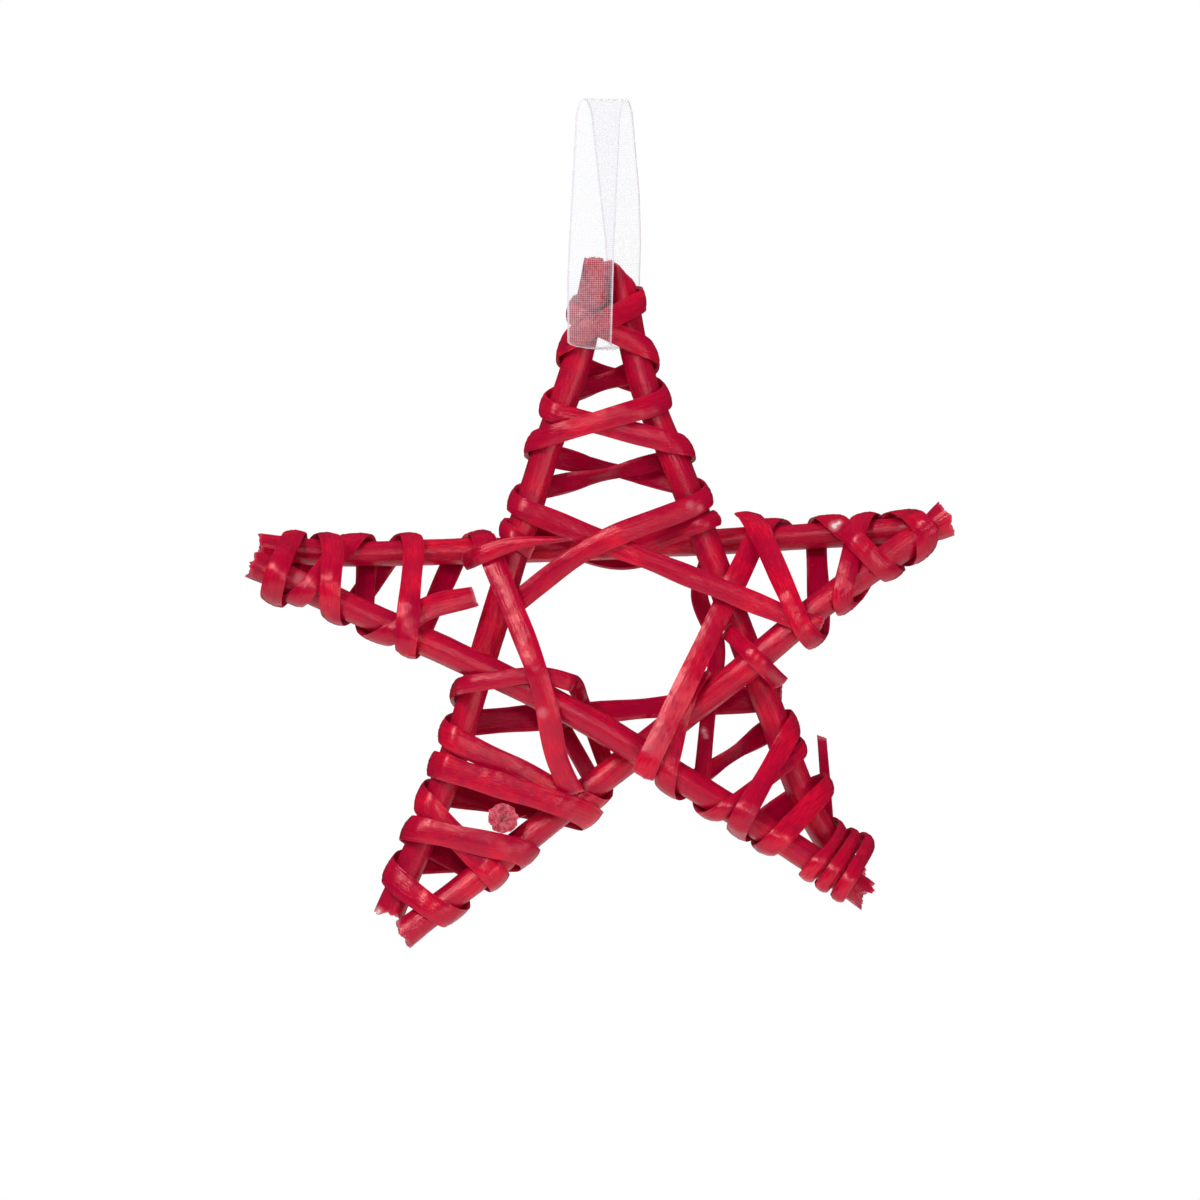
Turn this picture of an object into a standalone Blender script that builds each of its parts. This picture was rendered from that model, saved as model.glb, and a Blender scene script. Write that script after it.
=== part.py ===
"""Wicker star ornament: five willow rods bound with split-willow strips, hung by an organza ribbon loop.

Metres, +Z up. The star stands in the XZ plane and faces -Y. The origin is the inside of the top of
the ribbon loop, where the loop rests on whatever it hangs from.
"""
import bpy
import numpy as np

# Star
STAR_REACH = 0.079           # middle of the star to the tip of an arm
STAR_DROP = 0.1138           # inside top of the ribbon loop down to the middle of the star
STAR_SHIFT = 0.0014          # middle of the star to the right of the loop's top

# Rods
TALL_ROD_DIAMETER = 0.0063
LEVEL_ROD_DIAMETER = 0.0057
CROSS_ROD_DIAMETER = 0.0062
ROD_CLEARANCE = 0.0006       # between two rods where they cross

# Strips
STRIP_THICKNESS = 0.0013
STRIP_CLEARANCE = 0.00040    # between a strip and whatever it is pulled down on
WIDE_STRIP = 0.0056
BRACE_STRIP = 0.0050
LACING_STRIP = 0.0047
NARROW_STRIP = 0.0037
TIP_STRIP = 0.0030
CUT_STRIP = 0.0022

# Butt end of a rod, held against the rod from the right arm inside the lower left arm
STUB_DIAMETER = 0.0061
STUB_STATION = -42.2         # where it stands, in hundredths of the reach along that rod
STUB_PROUD = 0.0010          # its cut face in front of the strips beside it
STUB_LENGTH = 0.0088

# Ribbon
RIBBON_WIDTH = 0.0098
RIBBON_THICKNESS = 0.0005
RIBBON_SPREAD = 0.0062       # inside, between the two strands just below the top
RIBBON_SKEW = 0.0029         # sideways from the front strand to the back one, there
RIBBON_CLEARANCE = 0.0005    # to the rods and strips that it passes
RIBBON_GAP_STATION = 24.5    # where it goes between the two top rods, in hundredths of the reach
RIBBON_FRONT_SWAY = -0.0030  # sideways from that gap to the front strand's middle, at the star's tip
RIBBON_BACK_SWAY = 0.0034    # and to the back strand's
RIBBON_GATHER = 0.0031       # length over which it widens again, clear of those rods
RIBBON_THROAT = (0.3, 0.75, 0.1)   # shares of its sway, depth and gather just in front of that gap

# Fineness of the solids
ROD_SIDES = 10
ROD_RING_SPACING = 0.0150
STRIP_RING_SPACING = 0.0120
RIBBON_RING_SPACING = 0.0120
ROD_SAG = 0.00005            # most that a flat of a rod's solid bows away from the true curve
SAG = 0.00012                # and of a strip's or the ribbon's
TRACE_STEP = 0.00025         # spacing of the fine points that the strips' routes are worked out on
SOFTENING = 0.0008           # reach of the averaging that takes the last kinks out of those routes
CREASE = 50.0                # degrees from which an edge between two flats is shaded sharp

# How a strip lies
LOOSE_LIFTS = 3              # lifts off the rod of a loose turn, where a tight one has one
TURN_SPACING = 0.62          # two turns lie on each other if nearer than this share of both widths
SHALLOWEST_RUN = 0.35        # least share of a run's length that is taken to go in from its turn
OWN_QUARTER = 0.8            # share of a quarter turn where the strip lies on its own rod only
FACING_BLEND = 0.8           # length over which its face turns from the rod to the star, in reaches
SHOULDER_OUT = 0.4           # shoulder of its rounded face, in widths from the middle
SHOULDER_UP = 0.22           # and in thicknesses above it
CREST = 0.2                  # half of its crest that counts as level for a strip on it, in widths
CREST_FALL = 0.45            # and the fall from there to the edge, in thicknesses
SKIRT = 0.6                  # room kept clear beside its edges, in lifts

# How many points and rounds the working takes
SLANT_ROUNDS = 6
LAYING_ROUNDS = 3
POINTS_ACROSS = 15
POINTS_OF_A_QUARTER = 40
POINTS_ROUND_A_ROD = 120
MARKS_PER_STEP = 1.6
CELL_STEPS = 1.2
RING_TRIES = 24
RIBBON_POINTS_ACROSS = 41
RIBBON_POINTS_DOWN = 81

RED = (0.42, 0.012, 0.022, 1.0)
PALE_RED = (0.62, 0.10, 0.12, 1.0)
ORGANZA = (0.90, 0.90, 0.92, 1.0)

# Plan positions (x, z) are in hundredths of STAR_REACH from the middle of the star. Depths are in rod
# layers, one rod and its clearance thick, and less is nearer the viewer.
ROD_ROUTES = {
    "Rod_top_to_lower_left": (TALL_ROD_DIAMETER, [
        (-3.0, 101.7, -0.45), (-8.4, 76.2, -0.15), (-18.2, 46.9, 0.0), (-32.3, 0.8, 0.0),
        (-45.6, -42.3, 0.1), (-60.8, -78.1, 0.35)]),
    "Rod_top_to_lower_right": (TALL_ROD_DIAMETER, [
        (1.6, 99.8, 0.5), (9.2, 65.7, 0.1), (18.7, 42.9, 0.0), (25.8, 24.1, 0.0),
        (42.1, -18.7, 0.05), (54.8, -49.9, 0.25), (67.0, -68.9, 0.55)]),
    "Rod_left_to_right": (LEVEL_ROD_DIAMETER, [
        (-96.3, 23.1, 0.5), (-84.4, 21.7, 0.6), (-38.3, 21.7, 0.97), (7.9, 23.3, 1.0),
        (48.8, 25.4, 0.9), (85.5, 27.7, 0.5)]),
    "Rod_left_to_lower_right": (CROSS_ROD_DIAMETER, [
        (-97.9, 18.7, -0.5), (-57.2, 0.3, -0.85), (-30.1, -12.2, -1.02), (-3.0, -26.0, -1.1),
        (17.4, -38.8, -1.05), (49.9, -58.9, -0.7), (70.3, -72.1, -0.48)]),
    "Rod_right_to_lower_left": (CROSS_ROD_DIAMETER, [
        (92.2, 31.2, -0.48), (77.0, 21.4, -0.65), (55.1, 5.7, -0.95), (36.0, -10.2, -1.0),
        (7.0, -32.8, -0.1), (-35.0, -65.7, -0.2), (-57.2, -83.0, -0.4)]),
}
TL, TR, H, D1, D2 = ROD_ROUTES
OUTER_SIDE = {TL: -1, TR: 1, H: 1, D1: -1, D2: 1}
FRONT, BACK = 1, -1
NOWHERE = -1.0               # height over a place where there is nothing

# Each strip in the order of laying: its width, the face that its first run crosses, and its steps.
# A step is a turn round a rod (rod, distance along it in hundredths of the reach, from its end if
# negative), on the rod's inner side or loose where it says so, a plan point that a run goes by, the
# degrees that a run leans over on edge, a point where the strip passes through the star, an end, or
# a tuck, which is an end behind the rod just turned.
# The last number of an end or a point is its depth in layers, where it lies on nothing.
STRIPS = [
    ("Strip_upper_tie", NARROW_STRIP, FRONT, [
        (TR, 74.5), ("end", 4.5, 21.6)]),
    ("Strip_behind_top", NARROW_STRIP, BACK, [
        ("end", 16.0, 21.6), ("by", 3.8, 19.0), (TL, 77.9), ("end", -20.5, 21.0, -0.5)]),
    ("Strip_right_tie", NARROW_STRIP, FRONT, [
        ("end", 30.6, 0.9), ("end", 46.4, -14.6)]),
    ("Strip_right_of_middle", NARROW_STRIP, BACK, [
        ("end", 26.3, 19.3), ("by", 24.0, 10.5), ("by", 28.5, -3.0), ("by", 26.3, -22.8),
        (D1, -50.2), (TR, -41.6), ("tuck",)]),
    ("Strip_lower_right_lacing", LACING_STRIP, FRONT, [
        (D2, 78.0, "inner"), (D1, -62.2), ("lean", 50.0), (TR, -48.6), (D1, -40.1),
        (TR, -29.1, "loose"), (D1, -32.2), ("tuck",)]),
    ("Strip_lower_right_tip", TIP_STRIP, BACK, [
        ("tuck",), (TR, -15.9), (D1, -18.0), (TR, -12.0), (D1, -12.8), (TR, -8.8), (D1, -7.6),
        ("tuck",)]),
    ("Strip_behind_middle", WIDE_STRIP, BACK, [
        ("end", 47.2, -17.9), ("lean", 30.0), (TL, -54.1), (D2, -64.5), ("tuck",)]),
    ("Strip_left_tie", NARROW_STRIP, BACK, [
        ("tuck",), (TL, -65.0), ("by", -17.0, -12.2), ("through", -9.8, -14.2, -0.4),
        ("end", 0.5, -41.0)]),
    ("Strip_right_brace", BRACE_STRIP, BACK, [
        ("tuck",), (H, -42.1), (D1, -70.1)]),
    ("Strip_top_lacing", LACING_STRIP, FRONT, [
        (D2, 44.9), (TL, 70.0), ("lean", 55.0), (TR, 54.9), (TL, 43.3), ("lean", 35.0), (TR, 27.2),
        (TL, 15.5), (TR, 10.6), (TL, 27.4), ("lean", -35.0), (TR, 38.6), (TL, 55.0),
        ("lean", -55.0), (TR, 67.7), ("by", -5.7, 22.5), ("end", -28.8, 5.4)]),
    ("Strip_left_brace", BRACE_STRIP, BACK, [
        ("tuck",), (H, 60.6), ("by", -17.6, -19.3), ("by", -14.4, -35.0), ("end", -10.0, -45.0)]),
    ("Strip_lower_left_lacing", WIDE_STRIP, BACK, [
        ("tuck",), (TL, -44.1), (D2, -60.9), (TL, -34.8), (D2, -30.4), (TL, -24.8), (D2, -41.0),
        (TL, -13.1), (D2, -15.7), ("tuck",)]),
    ("Strip_left_lacing", LACING_STRIP, FRONT, [
        ("end", -36.0, 9.6, -0.8), ("by", -51.5, 5.2), (D1, 38.7), (H, 27.7), (D1, 14.4), (H, 9.8),
        (D1, 10.1), (H, 19.1), (D1, 27.5), (H, 41.6), (D1, 49.0), ("end", -42.3, 20.3)]),
    ("Strip_torn_end", NARROW_STRIP, FRONT, [
        ("end", -40.2, 18.6), ("by", -27.0, 23.4), ("end", -9.5, 25.0)]),
    ("Strip_right_lacing", LACING_STRIP, BACK, [
        ("tuck",), (D2, 12.9), (H, -6.5), (D2, 37.4), (H, -16.3), (D2, 21.8), (H, -27.2),
        (D2, 49.8), (H, -49.5)]),
    ("Strip_beside_middle", NARROW_STRIP, BACK, [
        ("end", -16.5, -20.5), ("end", -4.0, -42.5)]),
    ("Strip_cut_end", CUT_STRIP, BACK, [
        ("end", 60.5, -66.5), ("end", 57.2, -27.8)]),
]


def smooth_route(points, step):
    """Points at about even steps along a smooth curve through the given points: each stretch is a
    cubic whose slope at a given point runs parallel to the line between its two neighbours."""
    points = np.asarray(points, dtype=float)
    chord = along(points)
    fine = np.linspace(0.0, chord[-1], max(8, int(chord[-1] / step) + 1))
    if len(points) == 2:
        return points[0] + (fine / chord[-1])[:, None] * (points[1] - points[0])
    slope = np.gradient(points, chord, axis=0)
    k = np.clip(np.searchsorted(chord, fine, side="right") - 1, 0, len(chord) - 2)
    span = (chord[k + 1] - chord[k])[:, None]
    t = (fine - chord[k])[:, None] / span
    return ((2 * t**3 - 3 * t**2 + 1) * points[k] + (t**3 - 2 * t**2 + t) * span * slope[k]
            + (3 * t**2 - 2 * t**3) * points[k + 1] + (t**3 - t**2) * span * slope[k + 1])


def along(points):
    """Distance of each point along its route."""
    return np.r_[0.0, np.cumsum(np.linalg.norm(np.diff(points, axis=0), axis=1))]


def unit(vectors):
    return vectors / np.maximum(np.linalg.norm(vectors, axis=-1, keepdims=True), 1e-12)


def across_and_out(route, out):
    """Unit vectors across a band and out of its face, square to its run."""
    run = unit(np.gradient(route, axis=0))
    across = unit(np.cross(run, out))
    return across, unit(np.cross(across, run))


def evened(line, *others):
    """A line at even steps, and the values that go with its points at the same steps."""
    distance = along(line)
    wanted = np.linspace(0.0, distance[-1], int(distance[-1] / TRACE_STEP) + 2)
    return [np.stack([np.interp(wanted, distance, column) for column in values.T], axis=1)
            for values in (line, *others)]


def softened(values):
    """Values along a line, each the mean of those within SOFTENING of it."""
    reach = min(int(SOFTENING / TRACE_STEP), (len(values) - 1) // 2)
    row = np.arange(len(values))
    near = np.minimum(reach, np.minimum(row, len(values) - 1 - row))
    total = np.vstack([np.zeros(values.shape[1]), np.cumsum(values, axis=0)])
    return (total[row + near + 1] - total[row - near]) / (2 * near + 1)[:, None]


def world(x, z):
    """A plan position in hundredths of the star's reach, as metres from the origin."""
    return STAR_SHIFT + 0.01 * STAR_REACH * x, 0.01 * STAR_REACH * z - STAR_DROP


def in_space(plan, height, face):
    """Points at the given heights above one face of the star."""
    return np.stack([plan[:, 0], -face * height, plan[:, 1]], axis=1)


class Rod:
    """A round rod: its route, radius, and the strips that already turn round it."""

    def __init__(self, name, diameter, points, layer):
        self.name = name
        self.radius = diameter / 2
        route = []
        for x, z, depth in points:
            across, up = world(x, z)
            route.append((across, depth * layer, up))
        self.route, = evened(smooth_route(route, TRACE_STEP))
        self.length = along(self.route)
        self.run = unit(np.gradient(self.route, axis=0))
        self.plan_run = unit(self.run[:, [0, 2]])
        self.left = np.stack([-self.plan_run[:, 1], self.plan_run[:, 0]], axis=1)
        self.turns = []

    def at(self, station):
        """Row of the route at a distance in hundredths of the star's reach from the rod's start, or
        from its end if the distance is negative."""
        distance = 0.01 * STAR_REACH * station
        if station < 0:
            distance += self.length[-1]
        return int(np.clip(np.searchsorted(self.length, distance), 1, len(self.length) - 2))

    def nearest(self, plan):
        """For each plan point, the row of the route that is nearest to it."""
        gap = np.linalg.norm(plan[:, None, :] - self.route[None, ::2, [0, 2]], axis=2)
        return np.argmin(gap, axis=1) * 2

    def height(self, plan, reach, face):
        """Height over each plan point of a tube round the rod, and far below where there is none."""
        row = self.nearest(plan)
        away = np.abs(np.sum((plan - self.route[row][:, [0, 2]]) * self.left[row], axis=1))
        dome = np.sqrt(np.maximum(reach**2 - away**2, 0.0))
        return np.where(away <= reach * 1.0005, -face * self.route[row, 1] + dome, NOWHERE)


class Relief:
    """How high the things laid so far reach over each cell of a fine plan grid, on each face."""

    def __init__(self, low, high):
        self.low = low
        self.cell = CELL_STEPS * TRACE_STEP
        shape = np.ceil((high - low) / self.cell).astype(int) + 1
        self.heights = {face: np.full(shape, NOWHERE) for face in (FRONT, BACK)}

    def cells(self, plan):
        place = np.rint((plan - self.low) / self.cell).astype(int)
        place = np.clip(place, 0, np.array(self.heights[FRONT].shape) - 1)
        return place[:, 0], place[:, 1]

    def add(self, points, faces):
        """Raise the cells under a cloud of surface points."""
        for face in faces:
            np.maximum.at(self.heights[face], self.cells(points[:, [0, 2]]), -face * points[:, 1])

    def read(self, plan, face):
        return self.heights[face][self.cells(plan)]


def taut(distance, height):
    """Height of a string pulled tight over the given heights, touching only the highest ones."""
    kept = []
    for k in range(len(distance)):
        while len(kept) >= 2:
            a, b = kept[-2], kept[-1]
            rise = (height[b] - height[a]) * (distance[k] - distance[a])
            if rise > (height[k] - height[a]) * (distance[b] - distance[a]):
                break
            kept.pop()
        kept.append(k)
    return np.interp(distance, distance[kept], height[kept])


class Turn:
    """A strip's turn round a rod, or an end of the strip, where rod is None."""

    def __init__(self, plan, depth=None, rod=None, row=0, side=0, reach=0.0, tucked=False):
        self.plan = np.asarray(plan)
        self.depth = depth
        self.rod = rod
        self.reach = reach
        self.tucked = tucked
        if rod:
            self.axis_point = rod.route[row][[0, 2]]
            self.axis = rod.plan_run[row]
            self.outward = side * rod.left[row]

    def slant(self, towards):
        """How far a run goes along the rod for each step that it goes in from the turn."""
        run = towards - self.plan
        inward = max(-np.dot(run, self.outward), SHALLOWEST_RUN * np.linalg.norm(run))
        return np.dot(run, self.axis) / inward

    def quarter(self, slant, slant_here):
        """Plan of the quarter turn from the rod's side up onto its crest, as a helix whose slant goes
        evenly from slant_here, at the side, to slant."""
        angle = np.linspace(0.0, np.pi / 2, POINTS_OF_A_QUARTER)[:, None]
        forth = self.reach * (slant_here * angle + (slant - slant_here) * angle**2 / np.pi)
        return self.axis_point + forth * self.axis + self.reach * np.cos(angle) * self.outward


class Winder:
    """Lays strips on the rods one after another, each pulled tight over all that is there before."""

    def __init__(self, rods, layer):
        self.rods = rods
        self.layer = layer
        self.lift = STRIP_CLEARANCE + STRIP_THICKNESS / 2
        plan = np.vstack([rod.route for rod in rods.values()])[:, [0, 2]]
        margin = 2 * layer
        low, high = plan.min(axis=0) - margin, plan.max(axis=0) + margin
        self.over_rod = {name: Relief(low, high) for name in rods}
        for name, rod in rods.items():
            self.over_rod[name].add(tube_points(rod.route, rod.radius + self.lift), (FRONT, BACK))
        self.over_strips = Relief(low, high)

    def turn(self, name, station, width, side, loose):
        """A turn round a rod, outside the earlier turns that it meets there, and one strip further
        out if it is loose."""
        rod = self.rods[name]
        row = rod.at(station)
        place = rod.length[row]
        under = rod.radius
        for other_place, other_side, other_width, top in rod.turns:
            near = TURN_SPACING * (other_width + width)
            if other_side == side and abs(place - other_place) < near:
                under = max(under, top)
        reach = under + self.lift * (LOOSE_LIFTS if loose else 1)
        rod.turns.append((place, side, width, reach + STRIP_THICKNESS / 2))
        plan = rod.route[row][[0, 2]] + side * reach * rod.left[row]
        return Turn(plan, None, rod, row, side, reach)

    def read_steps(self, steps, width):
        """The turns and ends of a strip, and for each run between them the plan points that it goes
        by and how far it leans."""
        turns, by, leans = [], [], []
        for step in steps:
            if step[0] == "by":
                by[-1].append(np.array(world(*step[1:3])))
                continue
            if step[0] == "lean":
                leans[-1] = np.radians(step[1])
                continue
            if step[0] == "tuck":
                turns.append(Turn((0.0, 0.0), tucked=True))
            elif step[0] in ("end", "through"):
                depth = step[3] * self.layer if len(step) > 3 else None
                turns.append(Turn(world(*step[1:3]), depth))
            else:
                side = OUTER_SIDE[step[0]] * (-1 if "inner" in step else 1)
                turns.append(self.turn(step[0], step[1], width, side, "loose" in step))
            by.append([])
            leans.append(0.0)
        return turns, by[:-1], leans[:-1]

    def plans(self, turns, by):
        """Plan of every run, from the side of one rod to the side of the next."""
        ends = [[turn.plan, turn.plan] for turn in turns]
        slants = []
        for _ in range(SLANT_ROUNDS):
            before, slants = slants, []
            for k, turn in enumerate(turns):
                back, ahead = None, None
                if k and not turns[k - 1].tucked:
                    back = by[k - 1][-1] if by[k - 1] else ends[k - 1][1]
                if k < len(by) and not turns[k + 1].tucked:
                    ahead = by[k][0] if by[k] else ends[k + 1][0]
                if turn.rod is None:
                    slants.append((0.0, 0.0, 0.0))
                    continue
                arrive = turn.slant(back) if back is not None else None
                leave = turn.slant(ahead) if ahead is not None else None
                arrive = -leave if arrive is None else arrive
                leave = -arrive if leave is None else leave
                if before:
                    arrive, leave = (arrive + before[k][0]) / 2, (leave + before[k][1]) / 2
                slants.append((arrive, leave, (leave - arrive) / 2))
            for k, turn in enumerate(turns):
                if turn.rod is not None:
                    arrive, leave, here = slants[k]
                    ends[k] = [turn.quarter(arrive, -here)[-1], turn.quarter(leave, here)[-1]]
        runs = []
        for k in range(len(turns) - 1):
            start, finish = turns[k], turns[k + 1]
            parts = []
            if not (start.tucked or finish.tucked):
                parts.append(smooth_route([ends[k][1], *by[k], ends[k + 1][0]], TRACE_STEP)[1:-1])
            lengths = [0.0, 0.0]
            if start.rod is not None:
                parts.insert(0, start.quarter(slants[k][1], slants[k][2]))
                lengths[0] = along(parts[0])[-1]
            if finish.rod is not None:
                parts.append(finish.quarter(slants[k + 1][0], -slants[k + 1][2])[::-1])
                lengths[1] = along(parts[-1])[-1]
            runs.append((np.vstack(parts), lengths))
        return runs

    def lay(self, plan, quarters, start, finish, face, width, lean):
        """One run of a strip over the front or the back: its middle line and facing. Where it leans,
        it turns on edge by that angle halfway between its two turns."""
        distance = along(plan)
        free = np.clip((distance - quarters[0]) / max(distance[-1] - sum(quarters), TRACE_STEP), 0, 1)
        tilt = (lean * np.sin(np.pi * free)**2)[:, None]
        clear = {name: np.ones(len(plan), dtype=bool) for name in self.rods}
        ends = ((start, distance, quarters[0], 0), (finish, distance[-1] - distance, quarters[1], -1))
        for end, ahead, quarter, _ in ends:
            if end.rod is not None:
                clear[end.rod.name] &= ahead > OWN_QUARTER * quarter
        height = np.full(len(plan), NOWHERE)
        for end, *_ in ends:
            if end.rod is not None:
                height = np.maximum(height, end.rod.height(plan, end.reach, face))
        reliefs = [(relief, clear[name]) for name, relief in self.over_rod.items()]
        reliefs.append((self.over_strips, True))
        line = np.where(height > NOWHERE, height, 0.0)
        out = np.tile([0.0, -float(face), 0.0], (len(plan), 1))
        for _ in range(LAYING_ROUNDS):
            points = in_space(plan, line, face)
            across = unit(np.cross(unit(np.gradient(points, axis=0)), out))
            raised = height.copy()
            for share in np.linspace(-0.5, 0.5, POINTS_ACROSS):
                edge = share * width * across
                for relief, met in reliefs:
                    over = relief.read(plan + edge[:, [0, 2]], face)
                    needed = np.where((over > NOWHERE) & met, over + face * edge[:, 1], NOWHERE)
                    raised = np.maximum(raised, needed)
            for end, _, _, k in ends:
                if end.depth is not None:
                    raised[k] = -face * end.depth
                elif raised[k] == NOWHERE:
                    raised[k] = raised[np.flatnonzero(raised > NOWHERE)[k]]
            line = taut(distance, raised)
            points = in_space(plan, line, face)
            out = self.facing(points, ends, face)
            if lean:
                across, out = across_and_out(points, out)
                out = np.cos(tilt) * out + np.sin(tilt) * across
        return points, out

    def facing(self, points, ends, face):
        """Way out of the strip's face: straight off the rod on a quarter turn, else off the star."""
        out = np.tile([0.0, -float(face), 0.0], (len(points), 1))
        for end, ahead, quarter, _ in ends:
            if end.rod is None:
                continue
            row = end.rod.nearest(points[:, [0, 2]])
            off = points - end.rod.route[row]
            off -= np.sum(off * end.rod.run[row], axis=1, keepdims=True) * end.rod.run[row]
            weight = np.clip(1.0 + (quarter - ahead) / (FACING_BLEND * end.reach), 0.0, 1.0)[:, None]
            out = unit(out * (1 - weight) + unit(off) * weight)
        return out

    def wind(self, steps, width, face):
        """Middle line and facing of a whole strip."""
        turns, by, leans = self.read_steps(steps, width)
        lines, outs = [], []
        turned_over = 1
        for k, (plan, quarters) in enumerate(self.plans(turns, by)):
            if k and turns[k].rod is None:
                turned_over = -turned_over
            line, out = self.lay(plan, quarters, turns[k], turns[k + 1], face, width, leans[k])
            self.mark(line, out, width, face)
            lines.append(line[1:] if k else line)
            outs.append((out[1:] if k else out) * turned_over)
            face = -face
        line, out = evened(np.vstack(lines), np.vstack(outs))
        return softened(softened(line)), unit(softened(softened(out)))

    def mark(self, line, out, width, face):
        """Add a laid run to the relief: its rounded outer face, raised by what a strip on it needs."""
        across, out = across_and_out(line, out)
        skirt = SKIRT * self.lift / width
        marks = int(MARKS_PER_STEP * width / TRACE_STEP)
        for share in np.linspace(-0.5 - skirt, 0.5 + skirt, marks):
            rim = max(abs(share) - CREST, 0.0) / (0.5 - CREST)
            crown = STRIP_THICKNESS * (0.5 - CREST_FALL * min(rim, 1.0)**2) + self.lift
            self.over_strips.add(line + share * width * across + crown * out, (face,))


def tube_points(route, radius):
    """Surface points of a round rod, close enough together to leave no cell of the relief empty."""
    across, out = across_and_out(route, np.tile([0.0, -1.0, 0.0], (len(route), 1)))
    angle = np.linspace(0.0, 2 * np.pi, POINTS_ROUND_A_ROD, endpoint=False)[:, None, None]
    return (route + radius * (np.cos(angle) * across + np.sin(angle) * out)).reshape(-1, 3)


def rings(curves, longest, sag):
    """Rows of some curves that run side by side which are kept as rings of a solid: each stretch goes
    as far as it can before a curve bows away from it by more than the sag."""
    last = len(curves[0]) - 1
    step = max(1, int(longest / TRACE_STEP / RING_TRIES))
    rows = [0]
    while rows[-1] < last:
        start = rows[-1]
        best = min(start + 1, last)
        for stop in range(start + step, start + int(longest / TRACE_STEP) + step, step):
            stop = min(stop, last)
            share = np.linspace(0.0, 1.0, stop - start + 1)[:, None]
            bow = max(np.linalg.norm(curve[start:stop + 1] - (1 - share) * curve[start]
                                     - share * curve[stop], axis=1).max() for curve in curves)
            if bow > sag:
                break
            best = stop
            if stop == last:
                break
        rows.append(best)
    return np.array(rows)


def sweep(name, line, across, out, profile, material, closed=False):
    """Solid of a profile carried along a line, with flat ends or closed on itself. The profile is
    one for all rings, or one for each. Each side between two rings is split along its longer
    diagonal, which bows away from the true surface the least."""
    rows, sides = len(line), profile.shape[-2]
    profile = np.broadcast_to(profile, (rows, sides, 2))
    points = (line[:, None] + profile[..., :1] * across[:, None] + profile[..., 1:] * out[:, None])
    faces = []
    for row in range(rows if closed else rows - 1):
        ahead = (row + 1) % rows
        for side in range(sides):
            beside = (side + 1) % sides
            a, b, c, d = [(row, side), (ahead, side), (ahead, beside), (row, beside)]
            if np.linalg.norm(points[a] - points[c]) < np.linalg.norm(points[b] - points[d]):
                a, b, c, d = b, c, d, a
            for corners in ((a, b, c), (a, c, d)):
                faces.append(tuple(corner_row * sides + corner for corner_row, corner in corners))
    if not closed:
        faces.append(tuple(range(sides)))
        faces.append(tuple(reversed(range((rows - 1) * sides, rows * sides))))
    mesh = bpy.data.meshes.new(name)
    mesh.from_pydata(points.reshape(-1, 3).tolist(), [], faces)
    mesh.materials.append(material)
    mesh.shade_smooth()
    mesh.set_sharp_from_angle(angle=np.radians(CREASE))
    solid = bpy.data.objects.new(name, mesh)
    bpy.context.scene.collection.objects.link(solid)
    return solid


def round_section(radius):
    angle = 2 * np.pi * np.arange(ROD_SIDES) / ROD_SIDES
    return radius * np.stack([np.cos(angle), np.sin(angle)], axis=1)


def half_round(width):
    """Section of split willow: flat inside, rounded outside."""
    return np.array([(-0.5, -0.5), (0.5, -0.5), (SHOULDER_OUT, SHOULDER_UP), (0.0, 0.5),
                     (-SHOULDER_OUT, SHOULDER_UP)]) * (width, STRIP_THICKNESS)


def make_rod(rod, material):
    rows = rings([rod.route], ROD_RING_SPACING, ROD_SAG)
    across, out = across_and_out(rod.route, np.tile([0.0, -1.0, 0.0], (len(rod.route), 1)))
    sweep(rod.name, rod.route[rows], across[rows], out[rows], round_section(rod.radius), material)


def make_strip(winder, name, width, first_face, steps, material):
    line, out = winder.wind(steps, width, first_face)
    across, out = across_and_out(line, out)
    rows = rings([line - width / 2 * across, line, line + width / 2 * across], STRIP_RING_SPACING, SAG)
    sweep(name, line[rows], across[rows], out[rows], half_round(width), material)


def make_stub(rods, material):
    """Short cut end of a rod that leans on the rod from the right arm and faces the viewer."""
    carrier = rods[D2]
    row = carrier.at(STUB_STATION)
    reach = carrier.radius + STUB_DIAMETER / 2 + STRIP_CLEARANCE
    x, z = carrier.route[row][[0, 2]] - OUTER_SIDE[D2] * reach * carrier.left[row]
    front = carrier.route[row, 1] - carrier.radius - STRIP_CLEARANCE - STRIP_THICKNESS - STUB_PROUD
    line = np.array([(x, front + share * STUB_LENGTH, z) for share in (0.0, 0.5, 1.0)])
    across, out = across_and_out(line, np.tile([0.0, 0.0, 1.0], (3, 1)))
    sweep("Rod_butt_end", line, across, out, round_section(STUB_DIAMETER / 2), material)


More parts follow.
